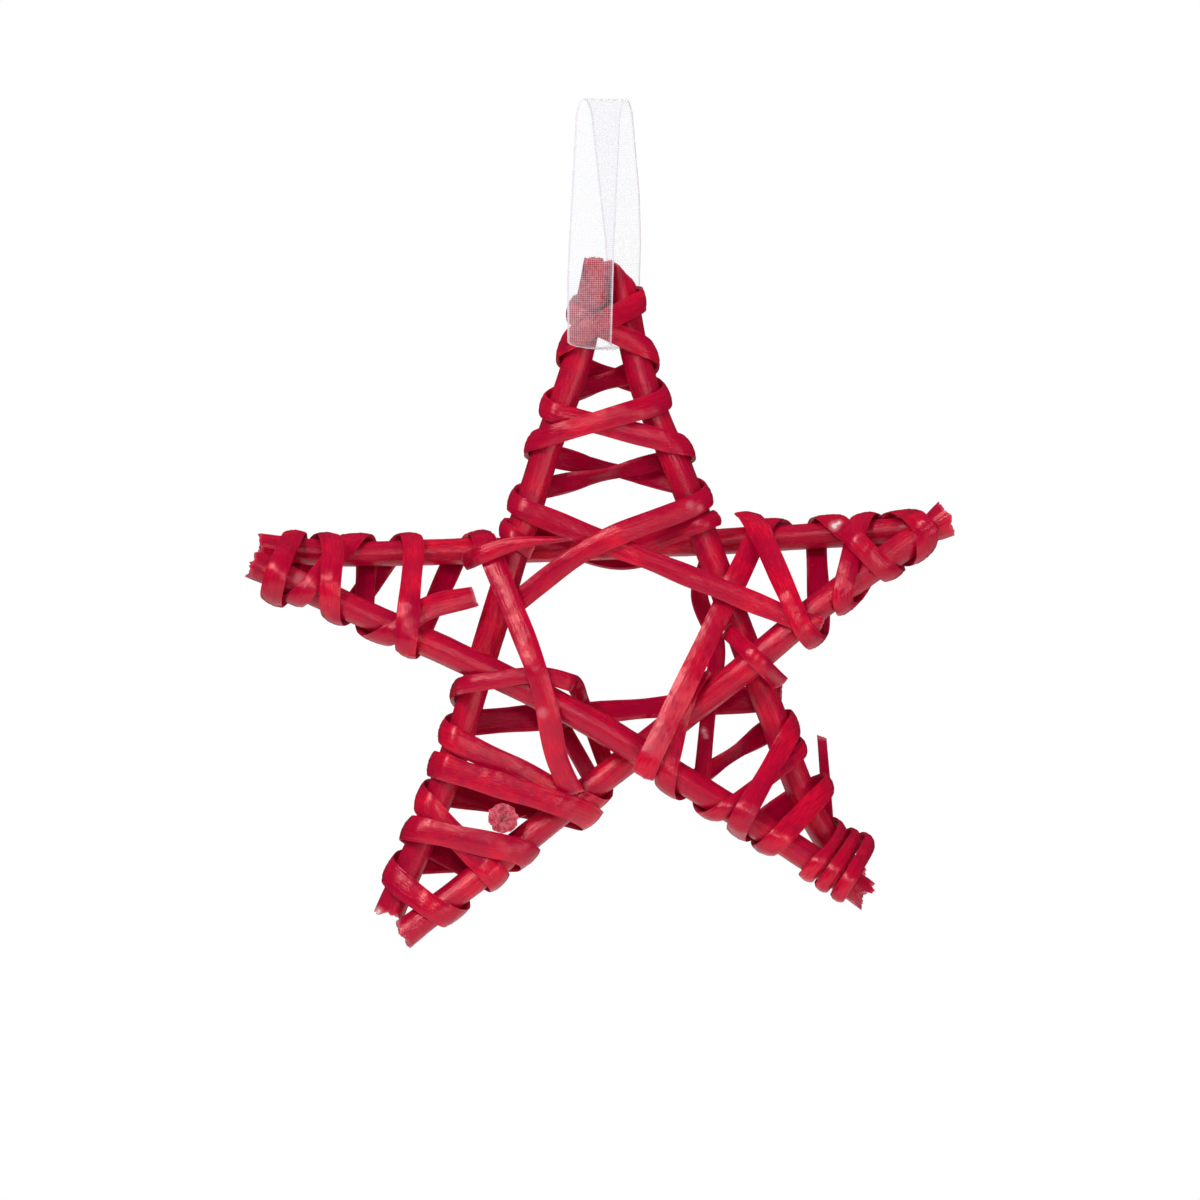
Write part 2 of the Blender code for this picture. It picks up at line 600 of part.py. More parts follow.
def make_ribbon(rods, winder, material):
    """Closed band: over the top, down in front of the star's tip, through between the two top rods,
    gathered to fit there, and up again behind."""
    left, right = (rods[name].route[rods[name].at(RIBBON_GAP_STATION)] for name in (TL, TR))
    gap = (left + right) / 2
    room = right[0] - left[0] - rods[TL].radius - rods[TR].radius
    tip = max(rods[name].route[0, 2] for name in (TL, TR))
    sway = {FRONT: RIBBON_FRONT_SWAY, BACK: RIBBON_BACK_SWAY}
    depth = {}
    for face in (FRONT, BACK):
        x = gap[0] + sway[face] + np.linspace(-0.5, 0.5, RIBBON_POINTS_ACROSS) * RIBBON_WIDTH
        z = np.linspace(gap[2], tip, RIBBON_POINTS_DOWN)
        spots = np.stack(np.meshgrid(x, z), axis=-1).reshape(-1, 2)
        reach = max(relief.read(spots, face).max()
                    for relief in (winder.over_strips, *winder.over_rod.values()))
        depth[face] = -face * (reach - winder.lift + RIBBON_CLEARANCE + RIBBON_THICKNESS / 2)
    top = RIBBON_SPREAD / 2 + RIBBON_THICKNESS / 2
    crown = [(-RIBBON_SKEW / 2 * np.sin(angle), -top * np.sin(angle),
              top * np.cos(angle) - RIBBON_SPREAD / 2) for angle in np.radians((0, 45, 90))]
    sideways_share, depth_share, rise_share = RIBBON_THROAT
    strands = {}
    for face in (FRONT, BACK):
        strands[face] = [
            (gap[0] + sway[face], depth[face], tip),
            (gap[0] + sway[face], depth[face], gap[2] + RIBBON_GATHER),
            (gap[0] + sideways_share * sway[face], depth_share * depth[face],
             gap[2] + rise_share * RIBBON_GATHER)]
    far_crown = [(-x, -y, z) for x, y, z in reversed(crown)]
    route = [*crown, *strands[FRONT], tuple(gap), *reversed(strands[BACK]), *far_crown]
    line, = evened(smooth_route(route, TRACE_STEP))
    sideways = np.tile([1.0, 0.0, 0.0], (len(line), 1))
    out = unit(np.cross(sideways, unit(np.gradient(line, axis=0))))
    away = np.linalg.norm(line - gap, axis=1)
    narrow = rods[TL].radius + abs(right[1] - left[1]) / 2 + RIBBON_CLEARANCE
    share = np.clip((away - narrow) / RIBBON_GATHER, 0.0, 1.0)
    width = room - 2 * RIBBON_CLEARANCE
    width = width + (RIBBON_WIDTH - width) * share**2 * (3 - 2 * share)
    rows = rings([line - width[:, None] * sideways, line + width[:, None] * sideways],
                 RIBBON_RING_SPACING, SAG)[:-1]
    across, out = -sideways, -out
    section = np.array([(-0.5, -0.5), (0.5, -0.5), (0.5, 0.5), (-0.5, 0.5)])
    profile = np.stack([section * (wide, RIBBON_THICKNESS) for wide in width[rows]])
    sweep("Ribbon_loop", line[rows], across[rows], out[rows], profile, material, closed=True)


def principled(name, colour, roughness):
    material = bpy.data.materials.new(name)
    material.use_nodes = True
    shader = material.node_tree.nodes["Principled BSDF"]
    shader.inputs["Base Color"].default_value = colour
    shader.inputs["Roughness"].default_value = roughness
    shader.inputs["Metallic"].default_value = 0.0
    return material


def main():
    for leftover in list(bpy.data.objects):
        bpy.data.objects.remove(leftover, do_unlink=True)
    layer = max(TALL_ROD_DIAMETER, LEVEL_ROD_DIAMETER, CROSS_ROD_DIAMETER) + ROD_CLEARANCE
    rods = {name: Rod(name, diameter, points, layer) for name, (diameter, points) in ROD_ROUTES.items()}
    winder = Winder(rods, layer)
    bark = principled("dyed_willow_rod", RED, 0.45)
    split = principled("dyed_split_willow", RED, 0.4)
    for rod in rods.values():
        make_rod(rod, bark)
    for name, width, first_face, steps in STRIPS:
        make_strip(winder, name, width, first_face, steps, split)
    make_stub(rods, principled("cut_willow", PALE_RED, 0.8))
    make_ribbon(rods, winder, principled("white_organza", ORGANZA, 0.5))


main()
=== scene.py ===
"""Looks of the wicker star ornament: dyed willow rods, split-willow windings and an organza ribbon.

Metres, +Z up, the star faces -Y, and the origin is the inside of the top of the ribbon loop, as in the
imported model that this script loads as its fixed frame. Plan positions are in hundredths of the star's
reach from its middle, and depths are in rod layers, less being nearer the viewer.
"""

import bpy
import numpy as np
from bpy.props import FloatProperty, FloatVectorProperty, PointerProperty
from bpy.types import Operator, Panel, PropertyGroup
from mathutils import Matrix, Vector

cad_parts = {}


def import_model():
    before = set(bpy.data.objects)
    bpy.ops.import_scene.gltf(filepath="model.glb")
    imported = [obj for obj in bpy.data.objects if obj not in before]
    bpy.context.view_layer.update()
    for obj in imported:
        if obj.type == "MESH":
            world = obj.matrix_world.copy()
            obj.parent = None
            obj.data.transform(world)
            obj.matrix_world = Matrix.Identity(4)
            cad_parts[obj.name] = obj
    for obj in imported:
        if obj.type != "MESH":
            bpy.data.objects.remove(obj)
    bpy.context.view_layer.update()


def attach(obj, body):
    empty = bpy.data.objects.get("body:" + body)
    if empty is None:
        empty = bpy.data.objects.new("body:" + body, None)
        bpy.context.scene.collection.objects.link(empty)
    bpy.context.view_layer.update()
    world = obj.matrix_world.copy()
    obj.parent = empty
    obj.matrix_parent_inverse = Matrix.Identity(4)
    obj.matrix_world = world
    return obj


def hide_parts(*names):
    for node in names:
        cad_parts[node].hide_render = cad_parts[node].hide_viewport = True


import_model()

bl_info = {
    "name": "Wicker star ornament",
    "version": (1, 0, 0),
    "blender": (4, 5, 0),
    "location": "View3D > Sidebar > Wicker star",
    "description": "Winds a five-pointed willow star and hangs it on a ribbon",
    "category": "Object",
}

TRACE_STEP = 0.00025         # spacing of the points that the strips' routes are worked out on
SOFTENING = 0.0008           # reach of the averaging that takes the last kinks out of those routes
RELIEF_CELL = 0.0003         # side of the cells in which the heights under a strip are kept
QUARTER_ROWS = 40            # points of a strip's route on a quarter turn round a rod
LEAST_INWARD = 0.35          # least share of a run's length that counts as its way in from a turn
MEETING = 0.62               # turns nearer to each other than this share of both widths lie stacked
CLEAR_OF_TURN = 0.8          # share of a quarter turn on which its own rod's relief is left out
FACING_BLEND = 0.8           # share of a turn's reach over which a strip's facing leaves the rod
NOWHERE = -1.0               # height over a place where there is nothing
FRONT, BACK = 1, -1
PLAN = [0, 2]                # columns of a point that are its plan position
MM = 0.001

ROD_SIDES = 48
ROD_SPACING = 0.0007         # between the rings of a rod's surface
BREAK_REACH = 0.009          # how far up a rod its rings follow the ragged shape of its end
FLARE_REACH = 0.005          # how far up a rod its end flares
STRIP_SPACING = 0.0005       # between the rings of a strip's surface
STRIP_BREAK_REACH = 0.005    # how far along a strip its rings follow the shape of its end
BUTT_STATION = -42.2         # place of the butt end, in hundredths of the reach from its rod's end
BUTT_SIDES = 96
SPLINTERS = 30               # short spikes on the butt end's face
GAP_STATION = 24.5           # where the ribbon goes between the two top rods, in hundredths of the reach
THREAD_SPACING = 0.00046     # between the ribbon's threads as drawn
PRESSED_SHEEN_BELOW = -0.0365      # height below which the ribbon is pressed on the top arm and carries its painted sheen
SHARPEST_SMOOTH = 48.0       # degrees between two faces that are still shaded as one
SENSOR_WIDTH = 36.0          # of the camera, in millimetres
VIEW_MIDDLE = (-0.00096, 0.0, -0.10715)
FLOOR_RADIUS = 0.42
FLOOR_FADE = 0.20            # width of the rim over which the floor fades out
FLOOR_SIDES = 96

TL, TR, H, D1, D2 = ("Rod_top_to_lower_left", "Rod_top_to_lower_right", "Rod_left_to_right",
                     "Rod_left_to_lower_right", "Rod_right_to_lower_left")
ROD_ROUTES = {
    TL: ("tall_rod", [
        (-3.0, 101.7, -0.45), (-8.4, 76.2, -0.15), (-18.2, 46.9, 0.0), (-32.3, 0.8, 0.0),
        (-45.6, -42.3, 0.1), (-60.8, -78.1, 0.35)]),
    TR: ("tall_rod", [
        (1.6, 99.8, 0.5), (9.2, 65.7, 0.1), (18.7, 42.9, 0.0), (25.8, 24.1, 0.0),
        (42.1, -18.7, 0.05), (54.8, -49.9, 0.25), (67.0, -68.9, 0.55)]),
    H: ("level_rod", [
        (-96.3, 23.1, 0.5), (-84.4, 21.7, 0.6), (-38.3, 21.7, 0.97), (7.9, 23.3, 1.0),
        (48.8, 25.4, 0.9), (85.5, 27.7, 0.5)]),
    D1: ("cross_rod", [
        (-97.9, 18.7, -0.5), (-57.2, 0.3, -0.85), (-30.1, -12.2, -1.02), (-3.0, -26.0, -1.1),
        (17.4, -38.8, -1.05), (49.9, -58.9, -0.7), (70.3, -72.1, -0.48)]),
    D2: ("cross_rod", [
        (92.2, 31.2, -0.48), (77.0, 21.4, -0.65), (55.1, 5.7, -0.95), (36.0, -10.2, -1.0),
        (7.0, -32.8, -0.1), (-35.0, -65.7, -0.2), (-57.2, -83.0, -0.4)]),
}
OUTER_SIDE = {TL: -1, TR: 1, H: 1, D1: -1, D2: 1}

# Each strip in the order of laying: its width, the face that its first run crosses, and its steps. A
# step is a turn round a rod (rod, distance along it, from its end if negative), a plan point that a run
# goes by, a point where the strip passes through the star, an end, an end tucked behind a rod, or how
# many degrees the run at that place leans over on edge. An inner turn goes round the side of the rod
# that faces the star's middle, and a loose one lies a strip's thickness further out. The number after
# an end's or a passing point's position is its depth.
STRIPS = [
    ("Strip_upper_tie", "narrow_strip", FRONT, [
        (TR, 74.5), ("end", 4.5, 21.6)]),
    ("Strip_behind_top", "narrow_strip", BACK, [
        ("end", 16.0, 21.6), ("by", 3.8, 19.0), (TL, 77.9), ("end", -20.5, 21.0, -0.5)]),
    ("Strip_right_tie", "narrow_strip", FRONT, [
        ("end", 30.6, 0.9), ("end", 46.4, -14.6)]),
    ("Strip_right_of_middle", "narrow_strip", BACK, [
        ("end", 26.3, 19.3), ("by", 24.0, 10.5), ("by", 28.5, -3.0), ("by", 26.3, -22.8),
        (D1, -50.2), (TR, -41.6), ("tuck",)]),
    ("Strip_lower_right_lacing", "lacing_strip", FRONT, [
        (D2, 78.0, "inner"), (D1, -62.2), ("lean", 50.0), (TR, -48.6), (D1, -40.1),
        (TR, -29.1, "loose"), (D1, -32.2), ("tuck",)]),
    ("Strip_lower_right_tip", "tip_strip", BACK, [
        ("tuck",), (TR, -15.9), (D1, -18.0), (TR, -12.0), (D1, -12.8), (TR, -8.8), (D1, -7.6),
        ("tuck",)]),
    ("Strip_behind_middle", "wide_strip", BACK, [
        ("end", 47.2, -17.9), ("lean", 30.0), (TL, -54.1), (D2, -64.5), ("tuck",)]),
    ("Strip_left_tie", "narrow_strip", BACK, [
        ("tuck",), (TL, -65.0), ("by", -17.0, -12.2), ("through", -9.8, -14.2, -0.4),
        ("end", 0.5, -41.0)]),
    ("Strip_right_brace", "brace_strip", BACK, [
        ("tuck",), (H, -42.1), (D1, -70.1)]),
    ("Strip_top_lacing", "lacing_strip", FRONT, [
        (D2, 44.9), (TL, 70.0), ("lean", 55.0), (TR, 54.9), (TL, 43.3), ("lean", 35.0), (TR, 27.2),
        (TL, 15.5), (TR, 10.6), (TL, 27.4), ("lean", -35.0), (TR, 38.6), (TL, 55.0),
        ("lean", -55.0), (TR, 67.7), ("by", -5.7, 22.5), ("end", -28.8, 5.4)]),
    ("Strip_left_brace", "brace_strip", BACK, [
        ("tuck",), (H, 60.6), ("by", -17.6, -19.3), ("by", -14.4, -35.0), ("end", -10.0, -45.0)]),
    ("Strip_lower_left_lacing", "wide_strip", BACK, [
        ("tuck",), (TL, -44.1), (D2, -60.9), (TL, -34.8), (D2, -30.4), (TL, -24.8), (D2, -41.0),
        (TL, -13.1), (D2, -15.7), ("tuck",)]),
    ("Strip_left_lacing", "lacing_strip", FRONT, [
        ("end", -36.0, 9.6, -0.8), ("by", -51.5, 5.2), (D1, 38.7), (H, 27.7), (D1, 14.4), (H, 9.8),
        (D1, 10.1), (H, 19.1), (D1, 27.5), (H, 41.6), (D1, 49.0), ("end", -42.3, 20.3)]),
    ("Strip_torn_end", "narrow_strip", FRONT, [
        ("end", -40.2, 18.6), ("by", -27.0, 23.4), ("end", -9.5, 25.0)]),
    ("Strip_right_lacing", "lacing_strip", BACK, [
        ("tuck",), (D2, 12.9), (H, -6.5), (D2, 37.4), (H, -16.3), (D2, 21.8), (H, -27.2),
        (D2, 49.8), (H, -49.5)]),
    ("Strip_beside_middle", "narrow_strip", BACK, [
        ("end", -16.5, -20.5), ("end", -4.0, -42.5)]),
    ("Strip_cut_end", "cut_strip", BACK, [
        ("end", 60.5, -66.5), ("end", 57.2, -27.8)]),
]

# How each rod's two ends broke: the depth of the break in millimetres, the plan direction of its
# longest side, how far that side stands past the other in millimetres, and how much the end flares.
ROD_ENDS = {
    TL: ((1.5, (1.0, 0.0), 0.6, 1.05), (1.6, (-1.0, 0.2), 0.8, 1.03)),
    TR: ((0.6, (-1.0, 0.15), 5.5, 1.00), (2.0, (0.7, -0.6), 1.4, 1.05)),
    H: ((0.9, (-0.6, 1.0), 0.8, 1.00), (1.0, (1.0, 0.4), 0.4, 1.10)),
    D1: ((1.6, (-1.0, 0.0), 0.4, 1.08), (2.6, (0.8, -0.5), 1.2, 1.10)),
    D2: ((0.9, (-0.5, 1.0), 1.7, 1.40), (0.7, (0.5, -1.0), 1.2, 1.06)),
}

# Strips whose far end runs out to a point, and over what length; strips drawn wider than their solids;
# a strip drawn thinner than its solid, which lies furthest back and sets how deep the star is; strips
# whose first end breaks off short of its solid's, out of sight under the strip on top of it
POINTED = {"Strip_torn_end": 0.016}
WIDENED = {"Strip_lower_right_tip": 1.14}
THINNED = {"Strip_cut_end": 0.86}
SHORT = {"Strip_top_lacing": 0.0024}

# Small chips, scars and scuffs by piece: middle in plan and reach in millimetres, and how bare they are
CHIPS = {
    "Rod_top_to_lower_left": ((-48.6, -173.9, 1.4, 0.95),),
    "Rod_right_to_lower_left": ((-44.4, -175.9, 0.9, 0.7),),
    "Strip_right_lacing": ((49.2, -91.3, 1.4, 1.0), (50.2, -90.6, 0.9, 1.0)),
    "Strip_right_of_middle": ((21.3, -135.2, 0.9, 0.95), (21.7, -136.3, 0.8, 0.9)),
    "Strip_left_brace": ((-13.2, -131.2, 1.5, 0.45),),
    "Strip_top_lacing": ((18.3, -86.8, 1.2, 0.35), (20.4, -87.4, 0.8, 0.3)),
    "Rod_left_to_lower_right": ((-65.2, -102.6, 1.8, 0.4), (-63.6, -103.6, 1.0, 0.3)),
}

# Sideways from the gap between the two top rods to each strand's middle, in metres, and the shares of
# its sway, depth and gather that a strand has just outside that gap
RIBBON_SWAY = {FRONT: -0.0030, BACK: 0.0034}
RIBBON_THROAT = (0.3, 0.75, 0.1)

# Edges of the ribbon's two strands: distance from the top, left edge and right edge, in millimetres
RIBBON_EDGES = {
    FRONT: ((0.0, -4.5, 4.8), (5.0, -6.1, 3.5), (35.0, -7.7, 2.1), (42.0, -8.0, 1.9),
            (60.0, -7.9, 1.4)),
    BACK: ((0.0, -4.5, 4.8), (5.0, -2.9, 6.1), (23.0, -1.0, 7.6), (33.0, 0.1, 7.9), (46.0, 1.0, 7.5),
           (60.0, 1.0, 6.5)),
}

# Lights: the setting that holds the watts, the side in metres, and the place from the view's middle
LIGHTS = {
    "Key_light": ("key", 0.30, (-0.50, -0.85, 0.62)),
    "Front_light": ("front", 0.16, (0.06, -1.30, 0.24)),
    "Fill_light": ("fill", 0.35, (0.75, -0.95, -0.15)),
    "Top_light": ("top", 0.60, (0.05, 0.10, 0.80)),
}


def linear(hex_colour):
    """sRGB hex colour as linear red, green and blue."""
    values = np.array([int(hex_colour[k:k + 2], 16) for k in (1, 3, 5)]) / 255
    return tuple(np.where(values <= 0.04045, values / 12.92, ((values + 0.055) / 1.055)**2.4))


def length_property(name, description, default):
    return FloatProperty(name=name, description=description, default=default, min=0.0,
                         subtype="DISTANCE", unit="LENGTH", precision=5)


def colour_property(name, description, hex_colour):
    return FloatVectorProperty(name=name, description=description, default=linear(hex_colour),
                               size=3, min=0.0, max=1.0, subtype="COLOR")


def watts_property(name, description, default):
    return FloatProperty(name=name, description=description, default=default, min=0.0, unit="POWER")


class WillowSettings(PropertyGroup):
    """Sizes and dye colours of the rods and strips."""
    star_reach: length_property("Star reach", "Middle of the star to the tip of an arm", 0.079)
    star_drop: length_property("Star drop", "Inside top of the loop down to the star's middle", 0.1138)
    star_shift: length_property("Star shift", "Star's middle to the right of the loop's top", 0.0014)
    tall_rod: length_property("Tall rods", "Diameter of the two rods from the top tip", 0.0063)
    level_rod: length_property("Level rod", "Diameter of the rod from side to side", 0.0057)
    cross_rod: length_property("Cross rods", "Diameter of the two rods that cross below", 0.0062)
    rod_clearance: length_property("Rod clearance", "Between two rods where they cross", 0.0006)
    strip_thickness: length_property("Strip thickness", "Flat face to crown of a split strip", 0.0013)
    strip_clearance: length_property("Strip clearance", "Between a strip and what it lies on", 0.0004)
    wide_strip: length_property("Wide strip", "Width of the lower left lacing", 0.0056)
    brace_strip: length_property("Brace strips", "Width of the two long braces", 0.0050)
    lacing_strip: length_property("Lacing strips", "Width of the other lacings", 0.0047)
    narrow_strip: length_property("Narrow strips", "Width of the ties", 0.0037)
    tip_strip: length_property("Tip strip", "Width of the turns at the lower right tip", 0.0030)
    cut_strip: length_property("Cut strip", "Width of the cut end behind the lower right arm", 0.0022)
    butt_diameter: length_property("Butt end", "Diameter of the cut rod end", 0.0061)
    butt_length: length_property("Butt end length", "Length of the cut rod end", 0.0088)
    butt_proud: length_property("Butt end proud", "Its cut face in front of the strips", 0.0010)
    dye: colour_property("Dye", "Red of the dyed willow", "#AC022C")
    deep_dye: colour_property("Deep dye", "Red where the dye soaked in the most", "#8E022E")
    bright_dye: colour_property("Bright dye", "Red where the skin took the least dye", "#D6062C")
    bare: colour_property("Torn wood", "Pink of torn fibres and cut wood", "#D27A86")


class RibbonSettings(PropertyGroup):
    """Sizes and colour of the organza ribbon."""
    width: length_property("Width", "Width of the ribbon", 0.0098)
    spread: length_property("Spread", "Inside, between the strands just below the top", 0.0062)
    skew: length_property("Skew", "Sideways from the front strand to the back, at the top", 0.0029)
    clearance: length_property("Clearance", "To the rods and strips that it passes", 0.0005)
    thickness: length_property("Thickness", "Room that the cloth takes with its folds", 0.0005)
    gather: length_property("Gather", "Length over which it widens out of the gap", 0.0031)
    thread: colour_property("Thread", "White of the threads", "#DEDEE4")


class StageSettings(PropertyGroup):
    """Studio round the ornament."""
    view_width: length_property("View width", "Width of the picture at the star", 0.25716)
    lens: FloatProperty(name="Lens", description="Focal length of the camera", default=350.0,
                        min=20.0, subtype="DISTANCE_CAMERA")
    floor_drop: length_property("Floor", "Loop's top down to the floor", 0.26)
    key: watts_property("Key light", "Watts of the large light from the upper left", 7.0)
    fill: watts_property("Fill light", "Watts of the large light from the right", 2.8)
    front: watts_property("Front light", "Watts of the small light just above the line of sight", 2.6)
    top: watts_property("Top light", "Watts of the light from above", 2.8)


def smooth_route(points, step):
    """Points at about even steps along a smooth curve through the given points: each stretch is a
    cubic whose slope at a given point runs parallel to the line between its two neighbours."""
    points = np.asarray(points, dtype=float)
    chord = along(points)
    fine = np.linspace(0.0, chord[-1], max(8, int(chord[-1] / step) + 1))
    if len(points) == 2:
        return points[0] + (fine / chord[-1])[:, None] * (points[1] - points[0])
    slope = np.gradient(points, chord, axis=0)
    k = np.clip(np.searchsorted(chord, fine, side="right") - 1, 0, len(chord) - 2)
    span = (chord[k + 1] - chord[k])[:, None]
    t = (fine - chord[k])[:, None] / span
    return ((2 * t**3 - 3 * t**2 + 1) * points[k] + (t**3 - 2 * t**2 + t) * span * slope[k]
            + (3 * t**2 - 2 * t**3) * points[k + 1] + (t**3 - t**2) * span * slope[k + 1])


def along(points):
    """Distance of each point along its route."""
    return np.r_[0.0, np.cumsum(np.linalg.norm(np.diff(points, axis=0), axis=1))]


def unit(vectors):
    return vectors / np.maximum(np.linalg.norm(vectors, axis=-1, keepdims=True), 1e-12)


def across_and_out(route, out):
    """Unit vectors across a band and out of its face, square to its run."""
    run = unit(np.gradient(route, axis=0))
    across = unit(np.cross(run, out))
    return across, unit(np.cross(across, run))


def read_along(wanted, distance, values):
    """Values that go with a line's points, read at the wanted distances along it."""
    return np.stack([np.interp(wanted, distance, column) for column in values.T], axis=-1)


def evened(line, *others):
    """A line at even steps, and the values that go with its points at the same steps."""
    distance = along(line)
    wanted = np.linspace(0.0, distance[-1], int(distance[-1] / TRACE_STEP) + 2)
    return [read_along(wanted, distance, values) for values in (line, *others)]


def straight_out(count, face=FRONT):
    """The way out of one face of the star, for each of a number of points."""
    return np.tile([0.0, -float(face), 0.0], (count, 1))


def fading(distance, reach):
    """1 at no distance, falling evenly to 0 at the reach."""
    return np.clip(1 - distance / reach, 0.0, 1.0)


def softened(values):
    """Values along a line, each the mean of those within SOFTENING of it."""
    reach = min(int(SOFTENING / TRACE_STEP), (len(values) - 1) // 2)
    row = np.arange(len(values))
    near = np.minimum(reach, np.minimum(row, len(values) - 1 - row))
    total = np.vstack([np.zeros(values.shape[1]), np.cumsum(values, axis=0)])
    return (total[row + near + 1] - total[row - near]) / (2 * near + 1)[:, None]


def world(x, z):
    """A plan position in hundredths of the star's reach, as metres from the origin."""
    willow = bpy.context.scene.willow
    return (willow.star_shift + 0.01 * willow.star_reach * x,
            0.01 * willow.star_reach * z - willow.star_drop)


def in_space(plan, height, face):
    """Points at the given heights above one face of the star."""
    return np.stack([plan[:, 0], -face * height, plan[:, 1]], axis=1)


class Rod:
    """A round rod: its route, radius, and the strips that already turn round it."""

    def __init__(self, name, diameter, points, layer):
        self.name = name
        self.radius = diameter / 2
        route = []
        for x, z, depth in points:
            across, up = world(x, z)
            route.append((across, depth * layer, up))
        self.route, = evened(smooth_route(route, TRACE_STEP))
        self.length = along(self.route)
        self.run = unit(np.gradient(self.route, axis=0))
        self.plan_run = unit(self.run[:, PLAN])
        self.left = np.stack([-self.plan_run[:, 1], self.plan_run[:, 0]], axis=1)
        self.reach = bpy.context.scene.willow.star_reach
        self.turns = []

    def at(self, station):
        """Row of the route at a distance in hundredths of the star's reach from the rod's start, or
        from its end if the distance is negative."""
        distance = 0.01 * self.reach * station
        if station < 0:
            distance += self.length[-1]
        return int(np.clip(np.searchsorted(self.length, distance), 1, len(self.length) - 2))

    def nearest(self, plan):
        """For each plan point, the row of the route that is nearest to it."""
        gap = np.linalg.norm(plan[:, None, :] - self.route[None, ::2, PLAN], axis=2)
        return np.argmin(gap, axis=1) * 2

    def height(self, plan, reach, face):
        """Height over each plan point of a tube round the rod, and far below where there is none."""
        row = self.nearest(plan)
        away = np.abs(np.sum((plan - self.route[row][:, PLAN]) * self.left[row], axis=1))
        dome = np.sqrt(np.maximum(reach**2 - away**2, 0.0))
        return np.where(away <= reach * 1.0005, -face * self.route[row, 1] + dome, NOWHERE)


class Relief:
    """How high the things laid so far reach over each cell of a fine plan grid, on each face."""

    def __init__(self, low, high):
        self.low = low
        shape = np.ceil((high - low) / RELIEF_CELL).astype(int) + 1
        self.heights = {face: np.full(shape, NOWHERE) for face in (FRONT, BACK)}

    def cells(self, plan):
        place = np.rint((plan - self.low) / RELIEF_CELL).astype(int)
        place = np.clip(place, 0, np.array(self.heights[FRONT].shape) - 1)
        return place[:, 0], place[:, 1]

    def add(self, points, faces):
        """Raise the cells under a cloud of surface points."""
        for face in faces:
            np.maximum.at(self.heights[face], self.cells(points[:, PLAN]), -face * points[:, 1])

    def read(self, plan, face):
        return self.heights[face][self.cells(plan)]


def taut(distance, height):
    """Height of a string pulled tight over the given heights, touching only the highest ones."""
    kept = []
    for k in range(len(distance)):
        while len(kept) >= 2:
            a, b = kept[-2], kept[-1]
            rise = (height[b] - height[a]) * (distance[k] - distance[a])
            if rise > (height[k] - height[a]) * (distance[b] - distance[a]):
                break
            kept.pop()
        kept.append(k)
    return np.interp(distance, distance[kept], height[kept])


class Turn:
    """A strip's turn round a rod, or an end of the strip, where rod is None."""

    def __init__(self, plan, depth=None, rod=None, row=0, side=0, reach=0.0, tucked=False):
        self.plan = np.asarray(plan)
        self.depth = depth
        self.rod = rod
        self.reach = reach
        self.tucked = tucked
        if rod:
            self.axis_point = rod.route[row][PLAN]
            self.axis = rod.plan_run[row]
            self.outward = side * rod.left[row]

    def slant(self, towards):
        """How far a run goes along the rod for each step that it goes in from the turn."""
        run = towards - self.plan
        inward = max(-np.dot(run, self.outward), LEAST_INWARD * np.linalg.norm(run))
        return np.dot(run, self.axis) / inward

    def quarter(self, slant, slant_here):
        """Plan of the quarter turn from the rod's side up onto its crest, as a helix whose slant goes
        evenly from slant_here, at the side, to slant."""
        angle = np.linspace(0.0, np.pi / 2, QUARTER_ROWS)[:, None]
        forth = self.reach * (slant_here * angle + (slant - slant_here) * angle**2 / np.pi)
        return self.axis_point + forth * self.axis + self.reach * np.cos(angle) * self.outward


